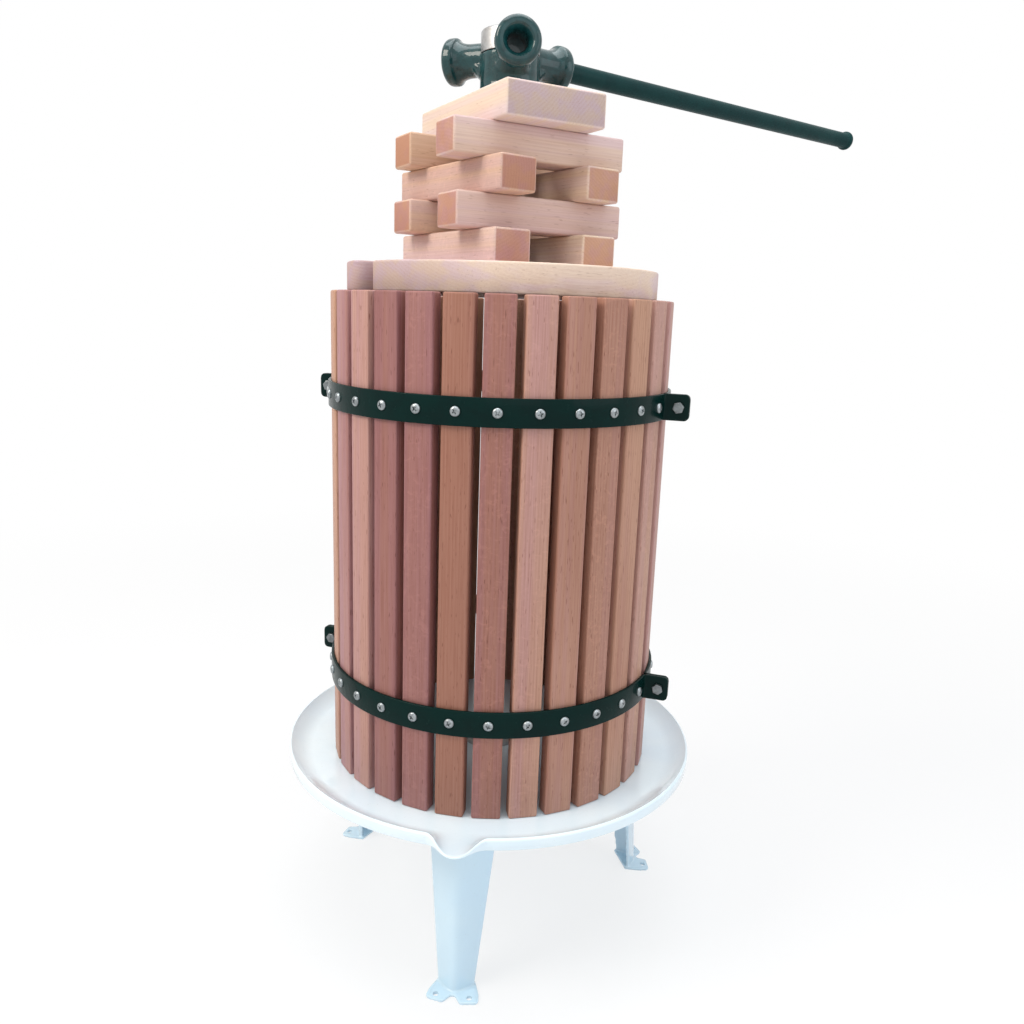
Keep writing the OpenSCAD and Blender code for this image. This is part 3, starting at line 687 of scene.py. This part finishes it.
class PressColours(bpy.types.PropertyGroup):
    slat_pale: colour("Pale slat", (0.62, 0.42, 0.345), "Palest slat wood")
    slat_pink: colour("Pink slat", (0.49, 0.285, 0.245), "Pinkish slat wood")
    slat_tan: colour("Tan slat", (0.53, 0.325, 0.24), "Tan slat wood")
    slat_red: colour("Red slat", (0.34, 0.165, 0.135), "Reddish slat wood")
    block_pale: colour("Pale block", (0.8, 0.67, 0.6), "Palest block wood")
    block_pink: colour("Pink block", (0.65, 0.465, 0.39), "Pinkish block wood")
    block_tan: colour("Tan block", (0.63, 0.42, 0.305), "Tan block wood")
    hoop: colour("Hoop green", (0.002, 0.018, 0.016), "Paint on the hoops")
    head: colour("Head green", (0.008, 0.056, 0.06), "Paint on the casting")
    bar: colour("Bar green", (0.01, 0.045, 0.045), "Paint on the lever bar")
    # the blue cast of this enamel colour is painted: a cool reflection and shade put into the white
    white: colour("Enamel", (0.82, 0.94, 1.0), "Enamel on the pan and legs")
    zinc: colour("Zinc", (0.62, 0.67, 0.69), "Plate on screws and bolts")
    steel: colour("Steel", (0.6, 0.6, 0.6), "Turned steel")


def halves(basket):
    """Name, body, slat nodes and first azimuth of the two basket halves."""
    return (("front", "basket_front", FRONT_SLATS, basket.turn + SLAT_PITCH),
            ("rear", "stand", REAR_SLATS, basket.turn + (180 + basket.rear_turn)))


class PRESS_OT_slats(bpy.types.Operator):
    """Grow the slats of both basket halves"""
    bl_idname = "press.slats"
    bl_label = "Slats"

    def execute(self, context):
        scene = context.scene
        basket, colours = scene.press_basket, scene.press_colours
        tones = [colours.slat_red, colours.slat_red, colours.slat_pink, colours.slat_tan, colours.slat_pale]
        wood = beech("slat_beech", tones, sheen=0.45, contrast=1.25)
        group = ring_group()
        size = (basket.slat_thickness, basket.slat_width, basket.slat_length)
        for (name, body, nodes, first), seed in zip(halves(basket), (1734, 11)):
            mesh = grown(group, timber(size, basket.slat_edge, 2), Finish=wood, Count=len(nodes), Levels=1,
                         First_azimuth=first, Pitch=SLAT_PITCH, Level_step=0.0, Spin=0.0, Seed=seed,
                         Radius=basket.slat_face - basket.slat_thickness / 2,
                         Height=basket.foot + basket.slat_length / 2)
            piece("slats_" + name, mesh, None, body, nodes)
        return {"FINISHED"}


def screw_blank(radius, height):
    """Pan head on local +X with a cross recess."""
    crown = ((1.0, 0.28), (0.97, 0.45), (0.88, 0.66), (0.72, 0.84), (0.5, 0.95), (0.25, 0.99))
    dome = [(0, -0.0004), (radius, -0.0004)] + [(radius * r, height * z) for r, z in crown] + [(0, height)]
    arm, wide = radius * 0.52, radius * 0.13
    quarter = [(arm, -wide * 0.5), (arm, wide * 0.5), (wide * 1.5, wide), (wide, wide * 1.5)]
    cross = []
    for _ in range(4):
        cross += quarter
        quarter = [(-y, x) for x, y in quarter]
    # height, and how far the recess has opened each way
    levels = ((0.3, 0.55, 0.7), (0.85, 1.0, 1.0), (1.3, 1.3, 1.15))
    tool = loft([[(x * p, y * q, height * z) for x, y in cross] for z, p, q in levels])
    mesh = cut(turned(dome, 32), tool)
    mesh.transform(Matrix.Rotation(pi / 2, 4, "Y"))
    return mesh


class PRESS_OT_slat_screws(bpy.types.Operator):
    """Grow the cross-recessed screws that hold the slats to the hoops"""
    bl_idname = "press.slat_screws"
    bl_label = "Slat screws"

    def execute(self, context):
        scene = context.scene
        basket, colours = scene.press_basket, scene.press_colours
        zinc = plated("zinc_screws", rgba(colours.zinc, 0.62), rough=0.2)
        group = ring_group()
        for (name, body, nodes, first), seed in zip(halves(basket), (5, 9)):
            blank = screw_blank(radius=0.00475, height=0.0026)
            mesh = grown(group, blank, Finish=zinc, Count=len(nodes), Levels=2, First_azimuth=first,
                         Pitch=SLAT_PITCH, Radius=basket.hoop_radius + basket.hoop_bar,
                         Height=basket.hoop_low, Level_step=basket.hoop_high - basket.hoop_low,
                         Spin=1.5, Seed=seed)
            piece("screw_heads_" + name, mesh, None, body, ["slat_screws_" + name], crease=28)
        return {"FINISHED"}


def joint_reach(basket):
    """Distance from the middle of the joint to the hoop's outer face, along the joint."""
    return sqrt((basket.hoop_radius + basket.hoop_bar) ** 2 - basket.joint ** 2)


def hoop_path(basket, off):
    """Middle line of part of a hoop in plan, on the +Y side of the joint at Y = off."""
    t = basket.hoop_bar
    outer = basket.hoop_radius + t
    face = off + basket.lug_gap / 2 + t
    bend = basket.lug_bend + t / 2
    low = degrees(asin((face + basket.lug_bend) / (outer + basket.lug_bend)))
    cx = (outer + basket.lug_bend) * cos(radians(low))
    tip = joint_reach(basket) + basket.lug
    steps = [0.0, 0.0004, 0.001, 0.0018, 0.0028, 0.004, 0.005, 0.008, 0.012]
    lug = [(tip - s, face - t / 2) for s in steps]
    curve = arc(cx, face + basket.lug_bend, bend, 270, 180 + low, 7)
    ring = arc(0, 0, outer - t / 2, low, 180 - low, 97)[1:-1]
    half = lug + curve
    return half + ring + [(-x, y) for x, y in reversed(half)]


def hoop_rings(basket, height, off):
    """Sections of the flat bar along its path, with rounded rims and cornered ends."""
    path = hoop_path(basket, off)
    rings, soft, taper = [], 0.0007, 0.0008
    for i, (x, y) in enumerate(path):
        ahead, behind = path[min(i + 1, len(path) - 1)], path[max(i - 1, 0)]
        heading = atan2(ahead[1] - behind[1], ahead[0] - behind[0])
        gone = min(hypot(x - end[0], y - end[1]) for end in (path[0], path[-1]))
        c, w, h = basket.lug_corner, basket.hoop_bar / 2, basket.hoop_height / 2
        if gone < c:
            h += sqrt(max(c * c - (c - gone) ** 2, 0)) - c
        if gone < taper:
            w *= 0.72 + 0.28 * gone / taper
        ring = []
        for sx, sz, start in ((1, 1, 0), (-1, 1, 90), (-1, -1, 180), (1, -1, 270)):
            ring += arc(sx * (w - soft), sz * (h - soft), soft, start, start + 90, 3)
        rings.append([(x + sin(heading) * p, y - cos(heading) * p, height + q) for p, q in ring])
    return rings


class PRESS_OT_hoops(bpy.types.Operator):
    """Bend the four half hoops with their lugs"""
    bl_idname = "press.hoops"
    bl_label = "Hoops"

    def execute(self, context):
        scene = context.scene
        basket, colours = scene.press_basket, scene.press_colours
        paint = gloss_paint("hoop_paint", colours.hoop, lumps=0.0006, peel=1.0, rough=0.16)
        sides = (("front", "basket_front", 0, basket.joint), ("rear", "stand", 180, -basket.joint))
        for level, height in (("upper", basket.hoop_high), ("lower", basket.hoop_low)):
            for side, body, turn, off in sides:
                part = "%s_%s" % (level, side)
                bar = loft(hoop_rings(basket, height, off), at_azimuth(basket.turn + turn))
                piece("hoop_bar_" + part, bar, paint, body, ["hoop_" + part],
                      crease=50)
        return {"FINISHED"}


def hex_blank(flats, height, bore=0.0, shank=(0.0, 0.0)):
    """Hexagon head or nut on local +Y from its bearing face, corners chamfered."""
    corner, chamfer = flats / 2 / cos(pi / 6), 0.07 * flats
    rings = []
    for z, r in ((0.0, corner * 0.965), (chamfer * 0.4, corner), (height - chamfer * 0.55, corner),
                 (height, flats * 0.46)):
        ring = []
        for a in (2 * pi * k / 48 for k in range(48)):
            reach = min(r, flats / 2 / cos((a + pi / 6) % (pi / 3) - pi / 6))
            ring.append((reach * cos(a), reach * sin(a), z))
        rings.append(ring)
    body = loft(rings)
    if bore:
        body = as_bmesh(cut(body, rod(bore, -0.01, height + 0.01, 48)))
    if shank[1]:
        r, reach = shank
        core = rod(r * 0.86, -reach - 0.0002, 0.0, 24)
        body = joined(body, thread(r, -reach, 0.0, lead=0.001, depth=r * 0.17, segments=24), core)
    bmesh.ops.transform(body, matrix=Matrix.Rotation(-pi / 2, 4, "X"), verts=body.verts)
    return as_mesh(body)


def thread(radius, low, high, lead, depth, segments):
    """Trapezoidal thread on Z between two heights, with closed ends."""
    shape = ((0.0, 0.0), (0.18, 0.0), (0.32, 1.0), (0.68, 1.0), (0.82, 0.0))
    turns = (high - low) / lead - 1.0
    count = int(turns * segments)
    verts, faces, m = [], [], len(shape)
    for k in range(count + segments + 1):
        a = 2 * pi * k / segments
        ease = min(1.0, k / (segments * 0.75), (count + segments - k) / (segments * 0.75))
        for share, lift in (shape if k <= count else shape[:1]):
            r = radius - depth + depth * lift * ease
            verts.append((r * cos(a), r * sin(a), low + lead * (k / segments + share)))

    def spot(k, j):
        if j == m:
            k, j = k + segments, 0
        return k * m + j if k <= count else (count + 1) * m + (k - count - 1)

    for k in range(count):
        for j in range(m):
            faces.append([spot(k, j), spot(k + 1, j), spot(k + 1, j + 1), spot(k, j + 1)])
    bottom = [spot(k, 0) for k in range(segments + 1)] + [spot(0, j) for j in range(m - 1, 0, -1)]
    top = [spot(count, j) for j in range(m)] + [spot(count + k, 0) for k in range(segments, 0, -1)]
    faces += [bottom[::-1], top[::-1]]
    return shell(verts, faces)


class PRESS_OT_lug_bolts(bpy.types.Operator):
    """Set a hexagon bolt and nut in every lug"""
    bl_idname = "press.lug_bolts"
    bl_label = "Lug bolts"

    def execute(self, context):
        scene = context.scene
        basket, colours = scene.press_basket, scene.press_colours
        zinc = plated("zinc_bolts", rgba(colours.zinc, 0.4), rough=0.3)
        group = lug_group()
        face = basket.lug_gap / 2 + basket.hoop_bar
        common = dict(Finish=zinc, Azimuth=basket.turn, Radius=joint_reach(basket) + basket.lug_bolt,
                      Low=basket.hoop_low, High=basket.hoop_high, Spin=1.0)
        bolt = hex_blank(flats=0.01, height=0.004, shank=(0.003, 0.016))
        bolts = grown(group, bolt, Side_step=basket.joint + face, Seed=2, **common)
        piece("bolt_heads_lugs", bolts, None, "basket_front", ["lug_bolts"], crease=30)
        nut = hex_blank(flats=0.01, height=0.005, bore=0.0031)
        nut.transform(Matrix.Rotation(pi, 4, "X"))
        nuts = grown(group, nut, Side_step=basket.joint - face, Seed=4, **common)
        piece("nuts_lugs", nuts, None, "stand", ["lug_nuts"], crease=30)
        return {"FINISHED"}


def pan_profile(stand, reach):
    """Section of the pan from the screw hole out, over the rim and back; reach is 1 in the spout."""
    t, z0 = stand.sheet, stand.floor
    crest_r = stand.rim + stand.spout * reach
    crest_z = z0 + stand.rim_height - 0.0078 * reach
    power = 2.1 - 0.7 * reach
    wall = [(stand.flat + (crest_r - stand.flat) * u, z0 + (crest_z - z0) * u ** power)
            for u in (i / 14 for i in range(15))]
    roll = 0.0024 - 0.0014 * reach
    depth = stand.skirt * (1 - reach) ** 1.6 + 0.0026 * reach
    lip = arc(crest_r, crest_z - roll, roll, 72, 0, 6)
    out, foot = crest_r + roll, crest_z - depth
    low = [(out, foot + 0.0006), (out - 0.0003, foot + 0.0001), (out - 0.0008, foot),
           (out - 0.0014, foot + 0.0002), (out - 0.0016, foot + 0.0007),
           (out - 0.0016, crest_z - roll - 0.0007 - 0.4 * (depth - roll) * (1 - reach))]
    under = [(r - t * 0.35 * i / 14, z - t * (1 + 0.25 * i / 14)) for i, (r, z) in enumerate(wall)][13::-1]
    flat = [(r, z0) for r in (0.0151, 0.05, 0.1, 0.15, 0.19)]
    return flat + wall + lip + low + under + [(r, z - t) for r, z in reversed(flat)]


def pan_mesh(stand):
    """The pan's sections round the screw, a degree apart and closer at the spout."""
    def off_spout(azimuth):
        return (azimuth - stand.spout_azimuth + 180) % 360 - 180

    near = [stand.spout_azimuth + d * 0.25 for d in range(-56, 57)]
    far = [float(a) for a in range(360) if abs(off_spout(a)) > 14.1]
    rings = []
    for azimuth in sorted({round(a % 360, 4) for a in near + far}):
        off = radians(off_spout(azimuth))
        u = abs(sin(off) * (stand.rim + 0.008)) if abs(off) < 0.5 else 1.0
        reach = 0.5 + 0.5 * cos(pi * min(u / stand.spout_base, 1.0))
        reach = reach * (1.0 + 0.25 * (1 - reach) * reach * 2)
        a = radians(azimuth)
        rings.append([(r * sin(a), -r * cos(a), z) for r, z in pan_profile(stand, reach)])
    return loft(rings, closed=True)


class PRESS_OT_pan(bpy.types.Operator):
    """Press the drip pan with its rolled rim and spout"""
    bl_idname = "press.pan"
    bl_label = "Drip pan"

    def execute(self, context):
        scene = context.scene
        stand, colours = scene.press_stand, scene.press_colours
        # the pan's enamel carries the painted blue reflection and shade of the enamel colour
        white = enamel("pan_enamel", colours.white)
        piece("enamel_pan", pan_mesh(stand), white, "stand", ["drip_pan"], crease=50)
        return {"FINISHED"}


def fold(s):
    """How far a folded leg falls back: 0 on its ridge, 1 at its edges."""
    return (sqrt(s * s + 0.09) - 0.3) / (sqrt(1.09) - 0.3)


def leg_shells(stand):
    """Folded sheet, top flange and foot tabs of a leg along local +X, as overlapping shells."""
    t, top = stand.leg_sheet, stand.floor - stand.sheet
    across = [i / 12 - 1 for i in range(25)]
    rings = []
    for u in (k / 24 for k in range(25)):
        z = t / 2 + (top - t) * u
        ridge, width, deep = 0.191 - 0.011 * u, 0.037 + 0.035 * u, 0.013 + 0.011 * u
        outer = [(ridge - deep * fold(s), s * width / 2, z) for s in across]
        inner = [(ridge - deep * fold(s) - t * (1 + 0.25 * abs(s)), -s * (width / 2 - 0.0006), z)
                 for s in across]
        rings.append(outer + inner)
    r, middle = 0.015, top - 0.006
    arch = [(-r, middle)] + arc(0, middle, r, 180, 360, 15) + [(r, top + 0.002), (-r, top + 0.002)]
    body = cut(loft(rings), loft([[(x, y, z) for y, z in arch] for x in (0.13, 0.21)]))
    flange = [(0.18 - 0.024 * fold(s) + 0.0002, s * 0.0361) for s in across]
    flange += [(0.15, 0.0361), (0.126, 0.026), (0.118, 0.018)]
    flange += [(0.118, -0.018), (0.126, -0.026), (0.15, -0.0361)]
    tabs = [(0.172, -0.0188), (0.19, -0.0255)] + [(x, -y) for x, y in arc(0.197, 0.0215, 0.005, 110, 30, 5)]
    tabs += [(0.204, -0.0095), (0.2025, -0.0075), (0.195, -0.0025)]
    tabs += [(x, -y) for x, y in reversed(tabs)]
    return joined(as_bmesh(body), plate_of(flange, top - t, top, 0), plate_of(tabs, 0, t, 0))


class PRESS_OT_legs(bpy.types.Operator):
    """Fold the three sheet legs"""
    bl_idname = "press.legs"
    bl_label = "Legs"

    def execute(self, context):
        scene = context.scene
        stand, colours = scene.press_stand, scene.press_colours
        # the legs get a darker, bluer copy of the pan's enamel: painted shade on the legs
        white = enamel("leg_enamel", rgba(colours.white, 0.75, 0.84, 0.9))
        skin = poured(leg_shells(stand), voxel=0.0009, rounds=6)
        # distance from the screw, distance aside, height and radius
        foot_hole, bolt_hole = (0.1963, 0.01683, 0, 0.003), (0.134, 0.014, 0.181, 0.00408)
        holes = [rod(r, -0.001, 0.006, 32, Matrix.Translation((x, side * y, z)))
                 for x, y, z, r in (foot_hole, bolt_hole) for side in (1, -1)]
        drilled = cut(skin, joined(*holes))
        for name, azimuth in (("leg_front", 0), ("leg_right", stand.leg_azimuth),
                              ("leg_left", -stand.leg_azimuth)):
            mesh = drilled.copy()
            mesh.transform(at_azimuth(azimuth))
            piece("enamel_" + name, mesh, white, "stand", [name], crease=45)
        return {"FINISHED"}


class PRESS_OT_stand_hardware(bpy.types.Operator):
    """Finish the bolts and nuts of the legs and the nut under the pan"""
    bl_idname = "press.stand_hardware"
    bl_label = "Stand hardware"

    def execute(self, context):
        colours = context.scene.press_colours
        zinc = plated("zinc_stand", colours.zinc, rough=0.2)
        steel = turned_steel("nut_under_pan", colours.steel, rough=0.3)
        for node, material in (("leg_bolts", zinc), ("leg_nuts", zinc), ("screw_nut", steel)):
            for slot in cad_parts[node].material_slots:
                slot.material = material
        return {"FINISHED"}


class PRESS_OT_screw(bpy.types.Operator):
    """Cut the trapezoidal thread of the press screw"""
    bl_idname = "press.screw"
    bl_label = "Press screw"

    def execute(self, context):
        scene = context.scene
        stand, head, colours = scene.press_stand, scene.press_head, scene.press_colours
        steel = turned_steel("screw_steel", rgba(colours.steel, 0.85), rough=0.26)
        r, z0 = head.screw, stand.floor
        foot, top = 0.158, head.screw_top
        flange = turned([(0, z0), (0.0305, z0), (0.031, z0 + 0.0005), (0.031, z0 + 0.0038),
                         (0.0302, z0 + 0.0047), (0.029, z0 + 0.005), (r + 0.0006, z0 + 0.005),
                         (r - 0.001, z0 + 0.0068), (0, z0 + 0.0068)])
        core = turned([(0, foot), (r - 0.0028, foot), (r - 0.0014, foot + 0.0014),
                       (r - 0.0014, foot + 0.003), (0, foot + 0.003)], 64)
        tip = turned([(0, top - 0.004), (r - 0.0012, top - 0.004), (r - 0.0001, top - 0.003),
                      (r - 0.0001, top - 0.0015), (r - 0.0015, top), (0.002, top), (0, top - 0.0012)], 64)
        spiral = thread(r, foot + 0.002, top - 0.001, head.lead, depth=0.0026, segments=48)
        screw = joined(spiral, flange, core, tip)
        piece("threaded_screw", screw, steel, "stand", ["press_screw"], crease=32)
        return {"FINISHED"}


class PRESS_OT_stack(bpy.types.Operator):
    """Cut the press plates, the crib and the top block"""
    bl_idname = "press.stack"
    bl_label = "Plates and blocks"

    def execute(self, context):
        scene = context.scene
        stack, head, colours = scene.press_stack, scene.press_head, scene.press_colours
        tan, pink, pale = colours.block_tan, colours.block_pink, colours.block_pale
        crib_wood = beech("block_beech", [tan, pink, pale, pink, tan], sheen=0.42, contrast=0.72,
                          cut_tone=(0.68, 0.45, 0.39), lean=0.45)
        plate_wood = beech("plate_beech", [pink, pale, pale], sheen=0.42, contrast=0.6,
                           cut_tone=(0.64, 0.61, 0.68), lean=0.35)
        # a plate's radius, half the gap between the plates, and the plate's corner radius
        r, g, c, edge = stack.plate_radius, 0.00015, 0.012, stack.block_edge
        cx = sqrt((r - c) ** 2 - (g + c) ** 2)
        lean = degrees(atan2(g + c, cx))
        notch = head.screw + stack.plate_shift + 0.002
        start = degrees(asin(g / notch))
        outline = arc(0, 0, notch, 180 - start, start, 24) + arc(cx, g + c, c, -90, lean, 8)
        outline += arc(0, 0, r, lean, 180 - lean, 90)[1:-1] + arc(-cx, g + c, c, 180 - lean, 270, 8)
        top = stack.plate_foot + stack.plate_height
        for name, azimuth, tone, shift in (("front", stack.chord - 180, 0.62, (0.3, 0.02, 0.4)),
                                           ("rear", stack.chord, 0.3, (-0.2, 0.05, 1.4))):
            place = at_azimuth(azimuth, x=-stack.plate_shift)
            mesh = as_mesh(plate_of(outline, stack.plate_foot, top, edge * 0.8, place))
            grained(mesh, 0, r - 0.004, place.inverted(), tone, shift, blend=0.06)
            piece("plate_" + name, mesh, plate_wood, "press_stack", ["press_plate_" + name],
                  crease=35)
        blank = timber((stack.block_length, stack.block_width, stack.block_height), edge, 0)
        mesh = grown(crib_group(), blank, Finish=crib_wood, Spacing=stack.block_gap + stack.block_width,
                     Foot=top, Layer_height=stack.block_height, Azimuth=stack.crib,
                     Yaw_1=2.0, Yaw_2=0.0, Yaw_3=4.0, Yaw_4=-2.0, Seed=6)
        piece("crib_blocks", mesh, None, "press_stack", CRIB_NODES, crease=35)
        low = top + 4 * stack.block_height
        x, y = stack.top_length / 2, stack.top_width / 2
        box = plate_of([(-x, -y), (x, -y), (x, y), (-x, y)], low, low + stack.block_height, edge)
        mesh = cut(box, rod(head.screw + 0.002, low - 0.01, low + 0.06, 64))
        grained(mesh, 0, x, tone=0.55, shift=(0.09, -low - 0.1, 0.7))
        mesh.transform(at_azimuth(stack.crib - 92.5))
        piece("wide_top_block", mesh, plate_wood, "press_stack", ["top_block"], crease=35)
        return {"FINISHED"}


def arm_shells(head, azimuth):
    """One socket arm with its flared mouth, and the web that carries it into the hub."""
    a, m, reach = head.arm, head.mouth, head.reach
    flare, lip, high = reach - 0.027, 0.0052, head.socket + 0.004
    outline = [(0, 0), (a, 0), (a, flare)]
    outline += [(a + (m - a) * (1 - cos(t)), flare + 0.0155 * sin(t))
                for t in (radians(i * 9) for i in range(1, 11))]
    outline += arc(m - lip, reach - lip, lip, 0, 90, 8) + [(0, reach)]
    tube = turned(outline, 72, lying(azimuth, z=head.foot + head.socket))
    rings = []
    for u in (i / 10 for i in range(11)):
        x = 0.004 + (reach - 0.031 - 0.004) * u
        low = 0.006 + (head.socket - a - 0.004) * u ** 1.7
        wide = 0.0245 - 0.0105 * u ** 0.8
        ring = []
        for b in (2 * pi * k / 24 for k in range(24)):
            ring.append((x, wide * cos(b) * (1.0 - 0.12 * (sin(b) > 0)),
                         head.foot + (low + high) / 2 + sin(b) * (high - low) / 2))
        rings.append(ring)
    return [tube, loft(rings, at_azimuth(azimuth))]


class PRESS_OT_head(bpy.types.Operator):
    """Cast the three-socket head and set its threaded bush"""
    bl_idname = "press.head"
    bl_label = "Head"

    def execute(self, context):
        scene = context.scene
        head, colours = scene.press_head, scene.press_colours
        z, hub, high = head.foot, head.hub, head.hub_height
        shells = [turned([(0, z), (hub + 0.0015, z), (hub + 0.0025, z + 0.001), (hub + 0.0022, z + 0.004),
                          (hub + 0.001, z + 0.009), (hub, z + 0.014), (hub, z + high - 0.001),
                          (hub - 0.001, z + high), (0, z + high)])]
        azimuths = [head.bar_azimuth + 120 * k for k in range(3)]
        for azimuth in azimuths:
            shells += arm_shells(head, azimuth)
        skin = poured(joined(*shells), voxel=0.0011, rounds=10)
        seat, wide = 0.02208, hub + 0.0001
        tools = [turned([(0, z - 0.01), (seat, z - 0.01), (seat, z + high), (wide, z + high),
                         (wide, z + 0.08), (0, z + 0.08)])]
        b, m = head.bore, head.reach
        bell = [(0, head.inner), (b, head.inner), (b, m - 0.009), (b + 0.0007, m - 0.006),
                (b + 0.002, m - 0.0035), (b + 0.0038, m - 0.0012), (b + 0.0055, m + 0.0004),
                (b + 0.0055, m + 0.01), (0, m + 0.01)]
        tools += [turned(bell, 64, lying(azimuth, z=z + head.socket)) for azimuth in azimuths]
        mesh = cut(skin, joined(*tools), crossing=True)
        paint = cast_paint("head_paint", colours.head)
        piece("cast_head", mesh, paint, "head", ["press_head"], crease=42)
        top = z + high + head.collar
        bush = turned([(0.01508, z + 0.001), (0.021, z + 0.001), (0.022, z + 0.002), (0.022, z + high),
                       (hub - 0.0004, z + high), (hub, z + high + 0.0004), (hub, top - 0.0022),
                       (hub - 0.0008, top - 0.0008), (hub - 0.0022, top), (0.0175, top),
                       (0.0162, top - 0.0008), (0.01508, top - 0.002)])
        steel = turned_steel("bush_steel", rgba(colours.steel, 0.8), rough=0.34)
        piece("steel_bush", bush, steel, "head", ["head_nut"], crease=32)
        return {"FINISHED"}


class PRESS_OT_bar(bpy.types.Operator):
    """Turn the lever bar with its rimmed end"""
    bl_idname = "press.bar"
    bl_label = "Lever bar"

    def execute(self, context):
        scene = context.scene
        head, colours = scene.press_head, scene.press_colours
        r, q, reach = head.bar, head.bar_rim, head.bar_length
        outline = [(0, 0), (r - 0.001, 0), (r - 0.0003, 0.0003), (r, 0.001)]
        outline += [(r, reach * i / 12) for i in range(1, 12)]
        outline += [(r, reach - 0.0085), (r + 0.0004, reach - 0.0075), (q - 0.0008, reach - 0.0062),
                    (q - 0.0001, reach - 0.005), (q, reach - 0.0035), (q - 0.0004, reach - 0.0016),
                    (q - 0.0013, reach - 0.0006), (q - 0.0028, reach - 0.0001), (0, reach)]
        place = lying(head.bar_azimuth, head.inner + 0.0003, head.foot + head.socket)
        paint = gloss_paint("bar_paint", colours.bar, lumps=0.0004, peel=1.4, rough=0.3)
        piece("painted_bar", turned(outline, 64, place), paint, "bar", ["lever_bar"])
        return {"FINISHED"}


def lay_floor(scene):
    """Pale floor that keeps the shadow near the press and fades to white further out."""
    mesh = bpy.data.meshes.new("floor")
    mesh.from_pydata([(-9, -9, 0), (9, -9, 0), (9, 9, 0), (-9, 9, 0)], [], [(0, 1, 2, 3)])
    floor = bpy.data.objects.new("floor", mesh)
    scene.collection.objects.link(floor)
    pale = Finish("pale_floor", Base_Color=(0.86, 0.86, 0.87, 1), Roughness=0.55)
    glow = pale.add("ShaderNodeEmission", None, {"Color": (1, 1, 1, 1), "Strength": 1.0})
    away = pale.add("ShaderNodeVectorMath", {"operation": "LENGTH"}, {0: pale.place()}, "Value")
    share = pale.background_rays() * (away.step(0.6, 2.2) * 0.28 + 0.72)
    lit = Wire(pale, pale.shader.outputs[0])
    both = pale.add("ShaderNodeMixShader", None, {0: share, 1: lit, 2: glow})
    pale.feed(pale.tree.nodes["Material Output"].inputs[0], both)
    mesh.materials.append(pale.material)


def light_studio(scene):
    """Pale surroundings and four soft square lamps, turned to the middle of the press."""
    world = bpy.data.worlds.new("studio")
    scene.world = world
    world.use_nodes = True
    sky = Tree(world.node_tree)
    back = world.node_tree.nodes["Background"]
    back.inputs["Color"].default_value = (1, 1, 1, 1)
    sky.feed(back.inputs["Strength"], sky.background_rays() * 0.55 + 0.45)
    for name, spot, power, size, tint in (("key", (-1.9, -1.3, 2.3), 45, 1.2, (1.0, 0.92, 0.82)),
                                          ("front", (0.9, -2.9, 1.7), 8, 2.0, (0.88, 0.94, 1.0)),
                                          ("top", (0.1, -0.2, 3.0), 56, 2.4, (0.92, 0.97, 1.0)),
                                          ("right", (2.3, -0.8, 1.4), 10, 1.6, (0.9, 0.94, 1.0))):
        lamp = bpy.data.lights.new(name, "AREA")
        lamp.energy, lamp.shape, lamp.size, lamp.color = power, "SQUARE", size, tint
        thing = bpy.data.objects.new(name, lamp)
        scene.collection.objects.link(thing)
        thing.location = spot
        thing.rotation_euler = (Vector((0, 0, 0.5)) - Vector(spot)).to_track_quat("-Z", "Y").to_euler()


def set_camera(scene):
    """Camera fitted to the hoop screws, slat feet, rim and foot holes of the picture."""
    pitch, roll, yaw = 0.2233, 0.0345, 0.0181
    ahead = Vector((sin(yaw) * cos(pitch), cos(yaw) * cos(pitch), -sin(pitch)))
    right = Vector((cos(yaw), -sin(yaw), 0))
    up = right.cross(ahead)
    level = Matrix((right * cos(roll) + up * sin(roll), up * cos(roll) - right * sin(roll), -ahead))
    lens = bpy.data.cameras.new("camera")
    lens.sensor_width, lens.lens, lens.clip_start = 36.0, 31.15, 0.05
    eye = bpy.data.objects.new("camera", lens)
    scene.collection.objects.link(eye)
    back_off = Matrix.Translation((0, -0.9459, 0.668))
    eye.matrix_world = Matrix.Rotation(radians(8.5), 4, "Z") @ back_off @ level.transposed().to_4x4()
    scene.camera = eye


class PRESS_OT_stage(bpy.types.Operator):
    """Set the floor, the light and the camera"""
    bl_idname = "press.stage"
    bl_label = "Stage"

    def execute(self, context):
        scene = context.scene
        scene.view_settings.view_transform = "Standard"
        lay_floor(scene)
        light_studio(scene)
        set_camera(scene)
        return {"FINISHED"}


class PRESS_PT_panel(bpy.types.Panel):
    """Sizes, colours and steps of the press"""
    bl_idname = "PRESS_PT_panel"
    bl_label = "Basket press"
    bl_space_type = "VIEW_3D"
    bl_region_type = "UI"
    bl_category = "Press"

    def draw(self, context):
        for job in JOBS:
            self.layout.operator(job.bl_idname)
        for name, group in GROUPS:
            box = self.layout.box()
            box.label(text=group.__name__[5:])
            for key in group.__annotations__:
                box.prop(getattr(context.scene, name), key)


GROUPS = (("press_basket", PressBasket), ("press_stand", PressStand), ("press_stack", PressStack),
          ("press_head", PressHead), ("press_colours", PressColours))
JOBS = (PRESS_OT_slats, PRESS_OT_slat_screws, PRESS_OT_hoops, PRESS_OT_lug_bolts, PRESS_OT_pan, PRESS_OT_legs,
        PRESS_OT_stand_hardware, PRESS_OT_screw, PRESS_OT_stack, PRESS_OT_head, PRESS_OT_bar, PRESS_OT_stage)


def register():
    for name, group in GROUPS:
        bpy.utils.register_class(group)
        setattr(bpy.types.Scene, name, PointerProperty(type=group))
    for job in JOBS + (PRESS_PT_panel,):
        bpy.utils.register_class(job)


def unregister():
    for job in reversed(JOBS + (PRESS_PT_panel,)):
        bpy.utils.unregister_class(job)
    for name, group in reversed(GROUPS):
        delattr(bpy.types.Scene, name)
        bpy.utils.unregister_class(group)


def main():
    register()
    for job in JOBS:
        group, name = job.bl_idname.split(".")
        getattr(getattr(bpy.ops, group), name)()


if __name__ == "__main__":
    main()
